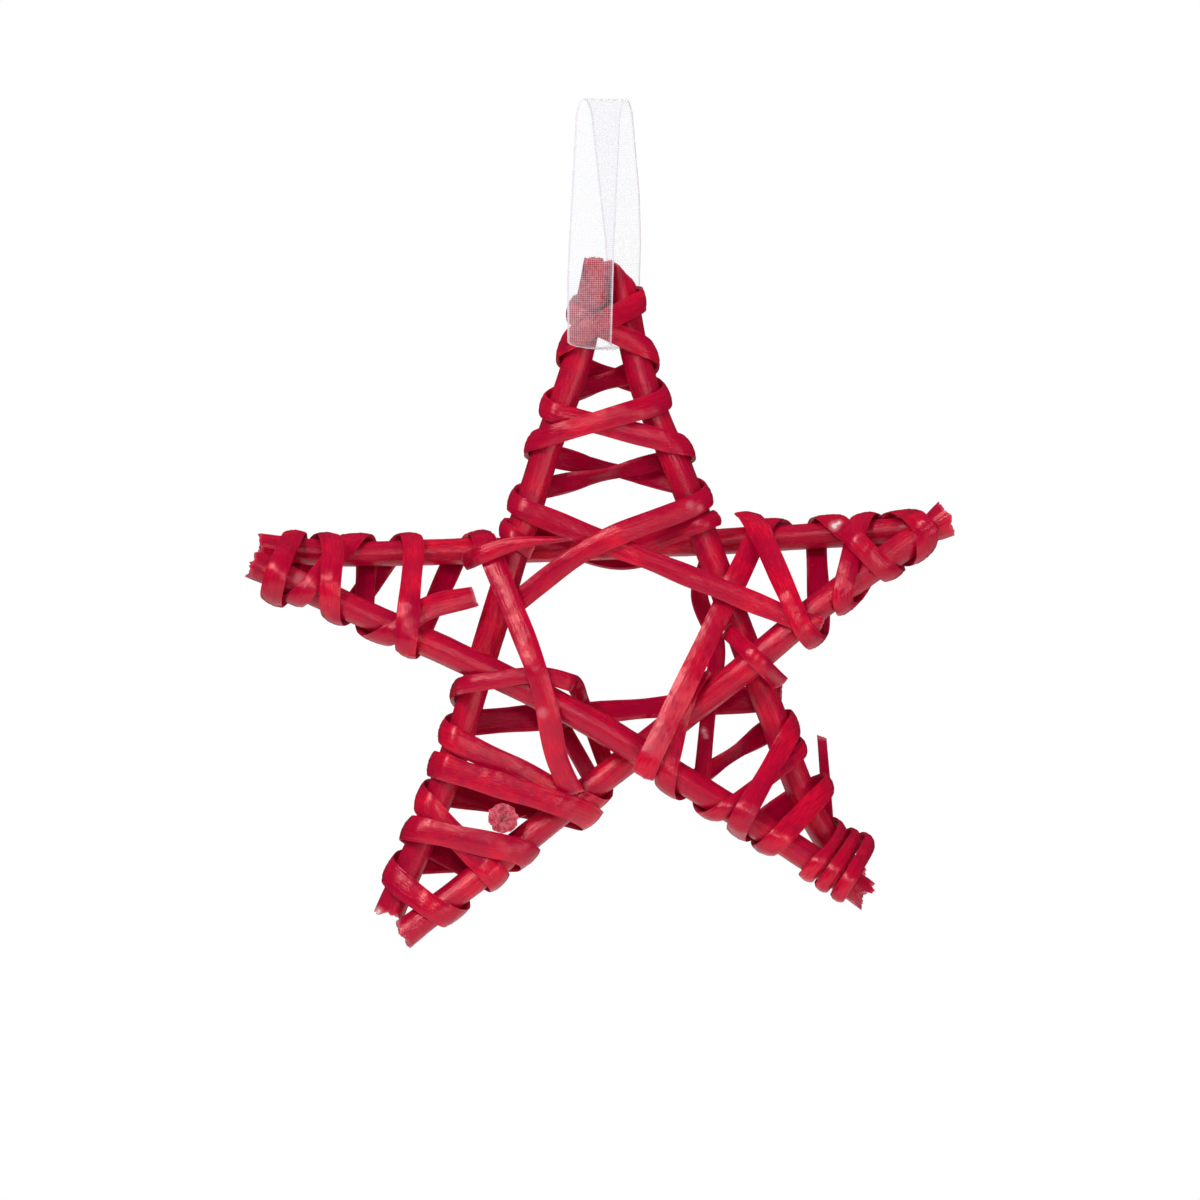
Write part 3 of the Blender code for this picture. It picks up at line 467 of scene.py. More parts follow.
class Winder:
    """Lays strips on the rods one after another, each pulled tight over all that is there before."""

    def __init__(self, rods, layer, willow):
        self.rods = rods
        self.layer = layer
        self.thickness = willow.strip_thickness
        self.lift = willow.strip_clearance + willow.strip_thickness / 2
        plan = np.vstack([rod.route for rod in rods.values()])[:, PLAN]
        margin = 2 * layer
        low, high = plan.min(axis=0) - margin, plan.max(axis=0) + margin
        self.over_rod = {name: Relief(low, high) for name in rods}
        for name, rod in rods.items():
            self.over_rod[name].add(tube_points(rod.route, rod.radius + self.lift), (FRONT, BACK))
        self.over_strips = Relief(low, high)

    def turn(self, name, station, width, side, loose):
        """A turn round a rod, outside the earlier turns that it meets there, and one strip further
        out if it is loose."""
        rod = self.rods[name]
        row = rod.at(station)
        place = rod.length[row]
        under = rod.radius
        for other_place, other_side, other_width, top in rod.turns:
            if other_side == side and abs(place - other_place) < MEETING * (other_width + width):
                under = max(under, top)
        reach = under + self.lift * (3 if loose else 1)
        rod.turns.append((place, side, width, reach + self.thickness / 2))
        plan = rod.route[row][PLAN] + side * reach * rod.left[row]
        return Turn(plan, None, rod, row, side, reach)

    def read_steps(self, steps, width):
        """The turns and ends of a strip, and for each run between them the plan points that it goes
        by and how far it leans."""
        turns, by, leans = [], [], []
        for step in steps:
            if step[0] == "by":
                by[-1].append(np.array(world(*step[1:3])))
                continue
            if step[0] == "lean":
                leans[-1] = np.radians(step[1])
                continue
            if step[0] == "tuck":
                turns.append(Turn((0.0, 0.0), tucked=True))
            elif step[0] in ("end", "through"):
                depth = step[3] * self.layer if len(step) > 3 else None
                turns.append(Turn(world(*step[1:3]), depth))
            else:
                side = OUTER_SIDE[step[0]] * (-1 if "inner" in step else 1)
                turns.append(self.turn(step[0], step[1], width, side, "loose" in step))
            by.append([])
            leans.append(0.0)
        return turns, by[:-1], leans[:-1]

    def plans(self, turns, by):
        """Plan of every run, from the side of one rod to the side of the next."""
        ends = [[turn.plan, turn.plan] for turn in turns]
        slants = []
        for _ in range(6):
            before, slants = slants, []
            for k, turn in enumerate(turns):
                back, ahead = None, None
                if k and not turns[k - 1].tucked:
                    back = by[k - 1][-1] if by[k - 1] else ends[k - 1][1]
                if k < len(by) and not turns[k + 1].tucked:
                    ahead = by[k][0] if by[k] else ends[k + 1][0]
                if turn.rod is None:
                    slants.append((0.0, 0.0, 0.0))
                    continue
                arrive = turn.slant(back) if back is not None else None
                leave = turn.slant(ahead) if ahead is not None else None
                arrive = -leave if arrive is None else arrive
                leave = -arrive if leave is None else leave
                if before:
                    arrive, leave = (arrive + before[k][0]) / 2, (leave + before[k][1]) / 2
                slants.append((arrive, leave, (leave - arrive) / 2))
            for k, turn in enumerate(turns):
                if turn.rod is not None:
                    arrive, leave, here = slants[k]
                    ends[k] = [turn.quarter(arrive, -here)[-1], turn.quarter(leave, here)[-1]]
        runs = []
        for k in range(len(turns) - 1):
            start, finish = turns[k], turns[k + 1]
            parts = []
            if not (start.tucked or finish.tucked):
                parts.append(smooth_route([ends[k][1], *by[k], ends[k + 1][0]], TRACE_STEP)[1:-1])
            lengths = [0.0, 0.0]
            if start.rod is not None:
                parts.insert(0, start.quarter(slants[k][1], slants[k][2]))
                lengths[0] = along(parts[0])[-1]
            if finish.rod is not None:
                parts.append(finish.quarter(slants[k + 1][0], -slants[k + 1][2])[::-1])
                lengths[1] = along(parts[-1])[-1]
            runs.append((np.vstack(parts), lengths))
        return runs

    def lay(self, plan, quarters, start, finish, face, width, lean):
        """One run of a strip over the front or the back: its middle line and facing. Where it leans,
        it turns on edge by that angle halfway between its two turns."""
        distance = along(plan)
        free = np.clip((distance - quarters[0]) / max(distance[-1] - sum(quarters), TRACE_STEP), 0, 1)
        tilt = (lean * np.sin(np.pi * free)**2)[:, None]
        clear = {name: np.ones(len(plan), dtype=bool) for name in self.rods}
        ends = ((start, distance, quarters[0], 0), (finish, distance[-1] - distance, quarters[1], -1))
        for end, ahead, quarter, _ in ends:
            if end.rod is not None:
                clear[end.rod.name] &= ahead > CLEAR_OF_TURN * quarter
        height = np.full(len(plan), NOWHERE)
        for end, *_ in ends:
            if end.rod is not None:
                height = np.maximum(height, end.rod.height(plan, end.reach, face))
        reliefs = [(relief, clear[name]) for name, relief in self.over_rod.items()]
        reliefs.append((self.over_strips, True))
        line = np.where(height > NOWHERE, height, 0.0)
        out = straight_out(len(plan), face)
        for _ in range(3):
            points = in_space(plan, line, face)
            across = unit(np.cross(unit(np.gradient(points, axis=0)), out))
            raised = height.copy()
            for share in np.linspace(-0.5, 0.5, 15):
                edge = share * width * across
                for relief, met in reliefs:
                    over = relief.read(plan + edge[:, PLAN], face)
                    needed = np.where((over > NOWHERE) & met, over + face * edge[:, 1], NOWHERE)
                    raised = np.maximum(raised, needed)
            for end, _, _, k in ends:
                if end.depth is not None:
                    raised[k] = -face * end.depth
                elif raised[k] == NOWHERE:
                    raised[k] = raised[np.flatnonzero(raised > NOWHERE)[k]]
            line = taut(distance, raised)
            points = in_space(plan, line, face)
            out = self.facing(points, ends, face)
            if lean:
                across, out = across_and_out(points, out)
                out = np.cos(tilt) * out + np.sin(tilt) * across
        return points, out

    def facing(self, points, ends, face):
        """Way out of the strip's face: straight off the rod on a quarter turn, else off the star."""
        out = straight_out(len(points), face)
        for end, ahead, quarter, _ in ends:
            if end.rod is None:
                continue
            row = end.rod.nearest(points[:, PLAN])
            off = points - end.rod.route[row]
            off -= np.sum(off * end.rod.run[row], axis=1, keepdims=True) * end.rod.run[row]
            weight = fading(ahead - quarter, FACING_BLEND * end.reach)[:, None]
            out = unit(out * (1 - weight) + unit(off) * weight)
        return out

    def wind(self, steps, width, face):
        """Middle line and facing of a whole strip."""
        turns, by, leans = self.read_steps(steps, width)
        lines, outs = [], []
        turned_over = 1
        for k, (plan, quarters) in enumerate(self.plans(turns, by)):
            if k and turns[k].rod is None:
                turned_over = -turned_over
            line, out = self.lay(plan, quarters, turns[k], turns[k + 1], face, width, leans[k])
            self.mark(line, out, width, face)
            lines.append(line[1:] if k else line)
            outs.append((out[1:] if k else out) * turned_over)
            face = -face
        line, out = evened(np.vstack(lines), np.vstack(outs))
        return softened(softened(line)), unit(softened(softened(out)))

    def mark(self, line, out, width, face):
        """Add a laid run to the relief: its rounded outer face, raised by what a strip on it needs."""
        across, out = across_and_out(line, out)
        skirt = 0.6 * self.lift / width
        for share in np.linspace(-0.5 - skirt, 0.5 + skirt, int(1.6 * width / TRACE_STEP)):
            rim = max(abs(share) - 0.2, 0.0) / 0.3
            crown = self.thickness * (0.5 - 0.45 * min(rim, 1.0)**2) + self.lift
            self.over_strips.add(line + share * width * across + crown * out, (face,))


def tube_points(route, radius):
    """Surface points of a round rod, close enough together to leave no cell of the relief empty."""
    across, out = across_and_out(route, straight_out(len(route)))
    angle = np.linspace(0.0, 2 * np.pi, 120, endpoint=False)[:, None, None]
    return (route + radius * (np.cos(angle) * across + np.sin(angle) * out)).reshape(-1, 3)


WOUND = {}


def wound_star():
    """The rods, the winder after all its strips, and each strip's middle line, facing and width."""
    if "star" not in WOUND:
        willow = bpy.context.scene.willow
        layer = max(willow.tall_rod, willow.level_rod, willow.cross_rod) + willow.rod_clearance
        rods = {name: Rod(name, getattr(willow, size), points, layer)
                for name, (size, points) in ROD_ROUTES.items()}
        winder = Winder(rods, layer, willow)
        strips = []
        for name, size, face, steps in STRIPS:
            width = getattr(willow, size)
            strips.append((name, *winder.wind(steps, width, face), width))
        WOUND["star"] = rods, winder, strips
    return WOUND["star"]


def waves(seed, around, distance, turns, lengths, count=9):
    """Sum of sine waves that run slantwise round and along a piece, about -1 to 1. Each has a whole
    number of turns round the piece, so that the pattern meets itself, a random length and phase."""
    rng = np.random.default_rng(seed)
    total = np.zeros(np.broadcast(around, distance).shape)
    for _ in range(count):
        turn = rng.integers(turns[0], turns[1] + 1) * rng.choice((-1, 1))
        wave = rng.uniform(*lengths) * MM
        total += np.sin(turn * around + 2 * np.pi * distance / wave + rng.uniform(0, 2 * np.pi))
    return total / np.sqrt(2 * count)


def grid_of(*parts):
    """Points, or places in the UV plane, from their coordinates, each spread out over the grid."""
    return np.stack(np.broadcast_arrays(*parts), axis=-1)


def closed(grid):
    """A grid with its first column again after its last."""
    return np.hstack([grid, grid[:, :1]])


def angles(sides):
    """Angles of the columns of points round a round piece."""
    return 2 * np.pi * np.arange(sides) / sides


def surface(name, points, uv, material, values, around=True, capped=True):
    """Mesh object of a grid of points, closed round its columns where asked, with flat caps on its
    first and last rows where asked. The UV grid has one more column than a closed grid of points, so
    that the pattern runs on over the seam. Each of the values is spread out over the grid's points,
    and the material reads it by its name: how torn the wood is, or whether it is the inner side."""
    rows, columns = points.shape[:2]
    index = np.arange(rows * columns).reshape(rows, columns)
    if around:
        index = closed(index)
    corners = [(slice(None, -1), slice(None, -1)), (slice(1, None), slice(None, -1)),
               (slice(1, None), slice(1, None)), (slice(None, -1), slice(1, None))]
    quads = np.stack([index[corner] for corner in corners], axis=-1).reshape(-1, 4)
    places = np.stack([uv[corner] for corner in corners], axis=-2).reshape(-1, 2)
    faces = quads.tolist()
    if capped:
        faces.append(index[0, :-1].tolist())
        faces.append(index[-1, :-1][::-1].tolist())
        places = np.vstack([places, uv[0, :-1], uv[-1, :-1][::-1]])
    mesh = bpy.data.meshes.new(name)
    mesh.from_pydata(points.reshape(-1, 3).tolist(), [], faces)
    mesh.uv_layers.new(name="Grain").data.foreach_set("uv", places.ravel())
    for key, value in values.items():
        attribute = mesh.attributes.new(key, "FLOAT", "POINT")
        attribute.data.foreach_set("value", np.broadcast_to(value, (rows, columns)).ravel())
    mesh.materials.append(material)
    mesh.shade_smooth()
    mesh.set_sharp_from_angle(angle=np.radians(SHARPEST_SMOOTH))
    piece = bpy.data.objects.new(name, mesh)
    bpy.context.scene.collection.objects.link(piece)
    return piece


def joined(pieces):
    """One mesh object of several, under the first one's name."""
    with bpy.context.temp_override(active_object=pieces[0], object=pieces[0],
                                   selected_objects=pieces, selected_editable_objects=pieces):
        bpy.ops.object.join()
    return pieces[0]


def splinters(roots, runs, reach, width, seed, material):
    """Thin tapered blades, each a four-sided spike that starts at its root and follows its run with
    a little sideways lean."""
    rng = np.random.default_rng(seed)
    count = len(roots)
    lean = rng.normal(size=(count, 3)) * 0.22
    run = unit(runs + lean)
    side = unit(np.cross(run, rng.normal(size=(count, 3))))
    back = np.cross(run, side)
    length = reach * rng.uniform(0.45, 1.0, (count, 1))
    wide = width * rng.uniform(0.5, 1.0, (count, 1))
    bend = back * length * rng.uniform(-0.25, 0.25, (count, 1))
    corner = np.stack([side * wide, back * wide * 0.45, -side * wide, -back * wide * 0.45], axis=1)
    rows = []
    for share, thin in ((-0.4, 1.0), (0.0, 1.0), (0.5, 0.6), (0.85, 0.3), (1.0, 0.08)):
        middle = roots + run * length * share + bend * max(share, 0.0)**2
        rows.append(middle[:, None] + thin * corner)
    spikes = []
    for k in range(count):
        points = np.stack([row[k] for row in rows])
        distance = np.array([0.0, 0.4, 0.9, 1.25, 1.4])[:, None] * length[k]
        uv = grid_of(np.linspace(0, 4, 5) * wide[k], distance)
        spikes.append(surface("Splinter", points, uv, material, {"torn": 0.9}))
    return spikes


def feed(node, key, value):
    """Give a node's socket a value, or link it from another node's output. A colour gets its alpha."""
    socket = node.inputs[key]
    if isinstance(value, bpy.types.NodeSocket):
        node.id_data.links.new(value, socket)
    elif socket.type == "RGBA":
        socket.default_value = (*value, 1.0)
    else:
        socket.default_value = value


def add_node(tree, kind, sockets=(), output=0, **settings):
    """Add a node with its settings, feed its sockets, given in order or by name or number, and give
    back one of its outputs."""
    node = tree.nodes.new("ShaderNode" + kind)
    for key, value in settings.items():
        setattr(node, key, value)
    named = sockets if isinstance(sockets, dict) else dict(enumerate(sockets))
    for key, value in named.items():
        feed(node, key, value)
    return node.outputs[output]


def new_material(name):
    material = bpy.data.materials.new(name)
    material.use_nodes = True
    return material, material.node_tree, material.node_tree.nodes["Principled BSDF"]


def grain(tree, across_mm, along_mm, detail=3.0, roughness=0.55):
    """Noise drawn out along the piece, with the given sizes of its marks in millimetres."""
    uv = add_node(tree, "UVMap", uv_map="Grain")
    drawn = add_node(tree, "Mapping", {"Vector": uv, "Scale": (1000 / across_mm, 1000 / along_mm, 1.0)})
    return add_node(tree, "TexNoise",
                    {"Vector": drawn, "Scale": 1.0, "Detail": detail, "Roughness": roughness})


def blotches(tree, size_mm, detail=2.0):
    """Noise in all directions, with blotches of the given size in millimetres."""
    place = add_node(tree, "TexCoord", output="Object")
    return add_node(tree, "TexNoise", {"Vector": place, "Scale": 1000 / size_mm, "Detail": detail})


def dyed_willow(name, willow, roughness, streak_mm, split=False):
    """Willow skin soaked in red dye and dried: it dries to a satin skin with fine lengthwise grain,
    deeper red in its hollows and smudges, brighter where the skin is dense, and pale where torn.
    Split willow has an inner side without skin, which is deeper red and duller."""
    material, tree, shader = new_material(name)
    fine = grain(tree, 0.30, 3.5, 4.0, 0.7)
    streaks = grain(tree, *streak_mm)
    flecks = grain(tree, 0.25, 0.9, 2.0, 0.5)
    dense = add_node(tree, "MapRange", [blotches(tree, 9.0), 0.46, 0.66])
    ridge = add_node(tree, "MapRange", [fine, 0.38, 0.62])
    fleck = add_node(tree, "MapRange", [flecks, 0.70, 0.78, 0.0, 0.22])
    torn = add_node(tree, "Attribute", output="Fac", attribute_name="torn")
    torn = add_node(tree, "Math", [torn, fleck], operation="MAXIMUM")
    # Colours laid one over the other on the deep dye, each by its own share
    layers = [
        (add_node(tree, "MapRange", [streaks, 0.30, 0.54, 0.40, 1.0]), willow.dye),
        (add_node(tree, "Math", [dense, ridge], operation="MULTIPLY"), willow.bright_dye),
        (add_node(tree, "MapRange", [blotches(tree, 3.2, 3.0), 0.56, 0.72, 0.0, 0.60]),
         willow.deep_dye),
        (torn, willow.bare),
        (add_node(tree, "MapRange", [torn, 0.85, 1.0, 0.0, 0.8]), linear("#EADCDC")),
    ]
    specular = 0.72
    if split:
        inner = add_node(tree, "Attribute", output="Fac", attribute_name="inner")
        layers.insert(3, (add_node(tree, "Math", [inner, 0.45], operation="MULTIPLY"),
                          willow.deep_dye))
        specular = add_node(tree, "MapRange", [inner, 0.0, 1.0, specular, 0.15])
    colour = willow.deep_dye
    for share, over in layers:
        colour = add_node(tree, "Mix", {0: share, 6: colour, 7: over}, 2, data_type="RGBA")
    feed(shader, "Base Color", colour)
    feed(shader, "Roughness",
         add_node(tree, "MapRange", [fine, 0.3, 0.7, roughness - 0.07, roughness + 0.07]))
    ridges = add_node(tree, "Bump", {"Height": fine, "Strength": 0.7, "Distance": 0.0001})
    pits = add_node(tree, "Bump", {"Height": streaks, "Strength": 0.5, "Distance": 0.0002,
                                   "Normal": ridges})
    feed(shader, "Normal", pits)
    feed(shader, "IOR", 1.5)
    feed(shader, "Specular IOR Level", specular)
    feed(shader, "Specular Tint", linear("#FFA8A8"))
    return material


def torn_willow(willow):
    """Wood torn or cut across: broken fibre ends that took little dye, matt and fluffy, so it looks
    pale pink with deep red pits."""
    material, tree, shader = new_material("torn_willow_wood")
    tufts = blotches(tree, 0.9, 4.0)
    pale = add_node(tree, "MapRange", [tufts, 0.34, 0.56])
    colour = add_node(tree, "Mix", {0: pale, 6: willow.dye, 7: linear("#D8586C")}, 2,
                      data_type="RGBA")
    feed(shader, "Base Color", colour)
    fluff = add_node(tree, "Bump", {"Height": tufts, "Strength": 0.9, "Distance": 0.0005})
    feed(shader, "Normal", fluff)
    feed(shader, "Roughness", 0.85)
    feed(shader, "Sheen Weight", 0.3)
    return material


def woven_organza(ribbon):
    """Sheer white organza, plain woven of fine twisted yarn, with a denser selvedge down each side: it
    is hardly seen over white, veils what is behind it, and its threads show as rows of tiny dots. Real
    organza has its threads about 0.1 mm apart, and here they are further apart so that they show."""
    material, tree, shader = new_material("woven_white_organza")
    uv = add_node(tree, "UVMap", uv_map="Grain")
    rows = []
    for way in ("X", "Y"):
        place = add_node(tree, "SeparateXYZ", [uv], way)
        turn = add_node(tree, "Math", [place, 2 * np.pi / THREAD_SPACING], operation="MULTIPLY")
        rows.append(add_node(tree, "Math", [turn], operation="SINE"))
    dots = add_node(tree, "Math", rows, operation="ADD")
    dense = add_node(tree, "MapRange", [blotches(tree, 0.7, 3.0), 0.35, 0.65, -0.6, 0.6])
    uneven = add_node(tree, "Math", [dots, dense], operation="ADD")
    cover = add_node(tree, "MapRange", [uneven, -1.5, 1.9, 0.08, 0.82])
    selvedge, pressed = (add_node(tree, "Attribute", output="Fac", attribute_name=name)
                         for name in ("selvedge", "pressed"))
    # The denser selvedge and a painted sheen on the pressed part of the front strand both raise the
    # cover
    closer_and_sheen = [add_node(tree, "Math", [where, share], operation="MULTIPLY")
              for where, share in ((selvedge, 0.45), (pressed, 0.30))]
    closer_and_sheen = add_node(tree, "Math", closer_and_sheen, operation="ADD")
    feed(shader, "Alpha", add_node(tree, "Math", [cover, closer_and_sheen], operation="ADD", use_clamp=True))
    colour = add_node(tree, "Mix", {0: selvedge, 6: ribbon.thread, 7: linear("#D0C8D2")}, 2,
                      data_type="RGBA")
    feed(shader, "Base Color", colour)
    feed(shader, "Roughness", 0.45)
    # Painted light: the threads glow faintly white, standing in for the light that scatters through them
    # from all round
    feed(shader, "Emission Color", ribbon.thread)
    feed(shader, "Emission Strength", 0.05)
    feed(shader, "Transmission Weight", add_node(tree, "MapRange", [selvedge, 0.0, 1.0, 0.68, 0.15]))
    feed(shader, "IOR", 1.08)
    return material


def chips(name, points):
    """How bare each point of a piece is for the chips on it: most at a chip's middle, none beyond it."""
    bare = np.zeros(points.shape[:-1])
    for x, z, reach, strength in CHIPS.get(name, ()):
        away = np.hypot(points[..., 0] - x * MM, points[..., 2] - z * MM) / (reach * MM)
        bare = np.maximum(bare, strength * np.clip(1.6 - 1.6 * away, 0.0, 1.0))
    return bare


def rod_end(cut, lean, splay, seed, angle):
    """How far short of the rod's full length each side of its end breaks off, in metres: a few broad
    lobes with steep sides, narrower teeth and the fine raggedness of torn fibres on them, and a lean
    towards one side."""
    rng = np.random.default_rng(seed)
    lobes = np.tanh(2.4 * waves(seed, angle, 0.0, (1, 7), (5, 9), 9))
    depth = cut * (0.5 + 0.42 * lobes) + 0.16 * cut**0.5 * rng.random(len(angle))
    teeth = 0.22 * cut**0.5 * waves(seed + 90, angle, 0.0, (9, 22), (5, 9), 10)
    return (depth + teeth + lean * np.clip(-splay, 0.0, 1.0)) * MM


def rod_surface(rod, seed, material):
    """Round rod along its route. Its radius goes up and down by long soft swellings and fine
    lengthwise ridges. Each end breaks off ragged: every side stops at its own length, the end flares
    where its fibres were crushed apart, and the broken face is hollow and uneven."""
    rng = np.random.default_rng(seed)
    ends = ROD_ENDS[rod.name]
    angle = angles(ROD_SIDES)
    full = rod.length[-1]
    across, out = across_and_out(rod.route, straight_out(len(rod.route)))
    even = np.linspace(0.0, full, int(full / ROD_SPACING) + 1)
    close = np.linspace(0.0, BREAK_REACH, 40)
    even = np.unique(np.r_[even, close, full - close])
    distance = even[:, None] * np.ones(ROD_SIDES)
    cuts = []
    for k, (cut, (x, z), lean, _) in zip((0, -1), ends):
        longest = np.array([x, 0.0, z]) / np.hypot(x, z)
        splay = np.cos(angle) * (across[k] @ longest) + np.sin(angle) * (out[k] @ longest)
        cuts.append(rod_end(cut, lean, splay, seed + 3 + k, angle))
    near, far = fading(distance, BREAK_REACH), fading(full - distance, BREAK_REACH)
    distance = distance + near * cuts[0] - far * cuts[1]
    inner = np.array([0.93, 0.8, 0.62, 0.44, 0.26, 0.1])[:, None]
    caps = []
    for cut in cuts:
        hollow = cut.mean() + (cut - cut.mean()) * inner**2 + 0.5 * MM * (1 - inner)
        caps.append(hollow + (rng.random((len(inner), ROD_SIDES)) - 0.5) * 0.5 * MM)
    rows = np.vstack([caps[0][::-1], distance, full - caps[1]])
    inner = inner * np.ones(ROD_SIDES)
    shares = np.vstack([inner[::-1], np.ones_like(distance), inner])
    middle, cross, front = (read_along(rows, rod.length, values) for values in (rod.route, across, out))
    swelling = 0.085 * waves(seed, angle, rows, (0, 2), (9, 45))
    ridges = 0.040 * waves(seed + 1, angle, rows, (5, 16), (40, 200), 14)
    skin = 0.014 * waves(seed + 2, angle, rows, (2, 9), (1.5, 5), 12)
    flare = 1.0
    for from_end, (_, _, _, wider) in zip((rows, full - rows), ends):
        flare = flare + (wider - 1) * fading(from_end, FLARE_REACH)**0.7
    radius = shares * flare * (rod.radius + (swelling + ridges + skin) * MM - 0.06 * MM)
    around = angle[:, None]
    points = middle + radius[..., None] * (np.cos(around) * unit(cross) + np.sin(around) * unit(front))
    uv = grid_of(np.append(angle, 2 * np.pi) * rod.radius, closed(rows) + seed)
    from_end = np.minimum(rows - cuts[0], full - cuts[1] - rows)
    torn = fading(from_end, 0.8 * MM)**2 * 0.35
    torn = np.maximum(np.where(shares < 1, 0.30, torn), chips(rod.name, points))
    return surface("Willow_" + rod.name.lower(), points, uv, material, {"torn": torn})


def strip_surface(name, line, out, width, thickness, seed, material):
    """Split willow along its line: flat, slightly hollow inside, and outside nearly flat with round
    shoulders. Its width and crown vary slowly, grooves run along its outer face, and its ends break
    off at a slant with small teeth."""
    across, out = across_and_out(line, out)
    length = along(line)
    even = np.linspace(0.0, length[-1], int(length[-1] / STRIP_SPACING) + 2)[:, None]
    arc = np.linspace(0.0, np.pi, 17)
    inside = np.linspace(-0.5, 0.5, 8)[1:-1]
    x = np.r_[0.49 * np.cos(arc), inside]
    crown = 0.04 + 0.46 * (1 - np.abs(np.cos(arc))**2.2)
    y = np.r_[crown, -0.5 + 0.12 * (1 - (2 * inside)**2)]
    outer = np.r_[np.ones(len(arc)), np.zeros(len(inside))]
    rng = np.random.default_rng(seed)
    cuts = []
    for _ in (0, 1):
        tooth = 0.35 * waves(rng.integers(1000), 2 * np.pi * x, 0.0, (2, 6), (5, 9), 7)
        cuts.append((0.4 + rng.uniform(-1.6, 1.6) * x + np.abs(tooth)) * MM)
    cuts = [cut - min(cut.min(), 0.0) for cut in cuts]
    cuts[0] = cuts[0] + SHORT.get(name, 0.0)
    zone = min(STRIP_BREAK_REACH, length[-1] / 3)
    distance = even + fading(even, zone) * cuts[0] - fading(length[-1] - even, zone) * cuts[1]
    middle, cross, front = (read_along(distance, length, values) for values in (line, across, out))
    wide = width * (1 + 0.085 * waves(seed, 0.0, distance, (0, 0), (14, 60)))
    if name in POINTED:
        wide = wide * np.clip((length[-1] - distance) / POINTED[name], 0.06, 1.0)**0.7
    wide = wide * WIDENED.get(name, 1.0)
    tall = thickness * (1 + 0.10 * waves(seed + 1, 0.0, distance, (0, 0), (6, 30)))
    tall = tall * THINNED.get(name, 1.0)
    groove = 0.045 * MM * waves(seed + 2, 2 * np.pi * x, distance, (2, 6), (30, 150)) * outer
    pucker = 0.03 * MM * waves(seed + 3, 2 * np.pi * x, distance, (0, 2), (1.5, 5)) * outer
    high = y * tall + groove + pucker
    tilt = np.radians(4.0) * waves(seed + 4, 0.0, distance, (0, 0), (10, 40))
    sideways = x * wide * np.cos(tilt) - high * np.sin(tilt)
    upwards = x * wide * np.sin(tilt) + high * np.cos(tilt)
    points = middle + sideways[..., None] * unit(cross) + upwards[..., None] * unit(front)
    step = np.hypot(np.diff(np.append(x, x[0])) * width, np.diff(np.append(y, y[0])) * thickness)
    girth = np.r_[0.0, np.cumsum(step)]
    uv = grid_of(girth, closed(distance) + 1.7 * seed)
    from_end = np.minimum(distance - cuts[0], length[-1] - cuts[1] - distance)
    torn = fading(from_end, 0.6 * MM) * 0.5
    # The shoulders are drawn paler in patches along the strip, partly as worn edges where the dye is
    # lighter and partly as a painted highlight along them
    edge = np.zeros(len(x))
    edge[[0, 1, len(arc) - 2, len(arc) - 1]] = 0.16, 0.06, 0.06, 0.16
    worn = np.clip(0.35 + 0.8 * waves(seed + 5, 0.0, distance, (0, 0), (2, 14)), 0.0, 1.0)
    torn = np.maximum(np.maximum(torn, edge * worn), chips(name, points))
    return surface("Willow_" + name.lower(), points, uv, material,
                   {"torn": torn, "inner": 1 - outer})


def butt_surface(carrier, willow, skin, face):
    """Short cut end of a rod, a straight round length whose front face is a field of torn fibres."""
    row = carrier.at(BUTT_STATION)
    radius = willow.butt_diameter / 2
    reach = carrier.radius + radius + willow.strip_clearance
    x, z = carrier.route[row][PLAN] - OUTER_SIDE[D2] * reach * carrier.left[row]
    front = (carrier.route[row, 1] - carrier.radius - willow.strip_clearance - willow.strip_thickness
             - willow.butt_proud)
    rng = np.random.default_rng(61)
    angle = angles(BUTT_SIDES)
    share = np.r_[np.linspace(0.04, 1.03, 16), np.linspace(1.03, 0.90, 5), np.full(7, 0.90), 0.7, 0.4,
                  0.15][:, None]
    depth = np.r_[np.zeros(16), np.linspace(0.15 * MM, willow.butt_length, 12),
                  np.full(3, willow.butt_length)][:, None]
    rough = np.r_[np.ones(17), 0.8, 0.5, 0.3, 0.1, np.zeros(10)][:, None]
    frill = waves(64, angle, 0.0, (2, 14), (5, 9), 14)
    ragged = 1 + rough * (0.065 * frill + 0.06 * (rng.random((len(share), BUTT_SIDES)) - 0.4))
    ridges = 1 + 0.02 * waves(62, angle, depth, (2, 12), (20, 90))
    right, up = (radius * share * ragged * ridges * part for part in (np.cos(angle), np.sin(angle)))
    tufts = sum(waves(seed, 2 * np.pi * one / (2.4 * MM), other, (0, 1), (1.1, 3.0))
                for seed, one, other in ((65, right, up), (66, up, right)))
    bumps = (0.35 * tufts + 0.35 * (rng.random(tufts.shape) - 0.5)) * MM * rough
    points = grid_of(x + right, front + depth + bumps, z + up)
    uv = grid_of(np.append(angle, 2 * np.pi) * radius, depth + 9.0)
    torn = np.clip(1.2 - depth / (0.8 * MM), 0.0, 1.0)
    body = surface("Willow_rod_butt_end", points, uv, skin, {"torn": torn})
    body.data.materials.append(face)
    slots = np.zeros(len(body.data.polygons), dtype=int)
    slots[:17 * BUTT_SIDES] = 1
    slots[-2] = 1
    body.data.polygons.foreach_set("material_index", slots)
    turn = rng.uniform(0, 2 * np.pi, (SPLINTERS, 1))
    outwards = np.hstack([np.cos(turn), np.zeros((SPLINTERS, 1)), np.sin(turn)])
    from_middle = radius * np.sqrt(rng.uniform(0.1, 0.95, (SPLINTERS, 1)))
    roots = np.array([x, front, z]) + from_middle * outwards
    runs = unit(outwards * 0.8 + [0.1, -0.7, 0.0] + rng.normal(size=(SPLINTERS, 3)) * 0.5)
    spikes = splinters(roots, runs, 0.8 * MM, 0.13 * MM, 63, face)
    wisp_root = np.array([[x + 0.9 * radius, front, z - 0.1 * radius]])
    wisp = splinters(wisp_root, np.array([[1.0, -0.3, 0.45]]), 4.2 * MM, 0.16 * MM, 5, face)
    return joined([body, *spikes, *wisp])


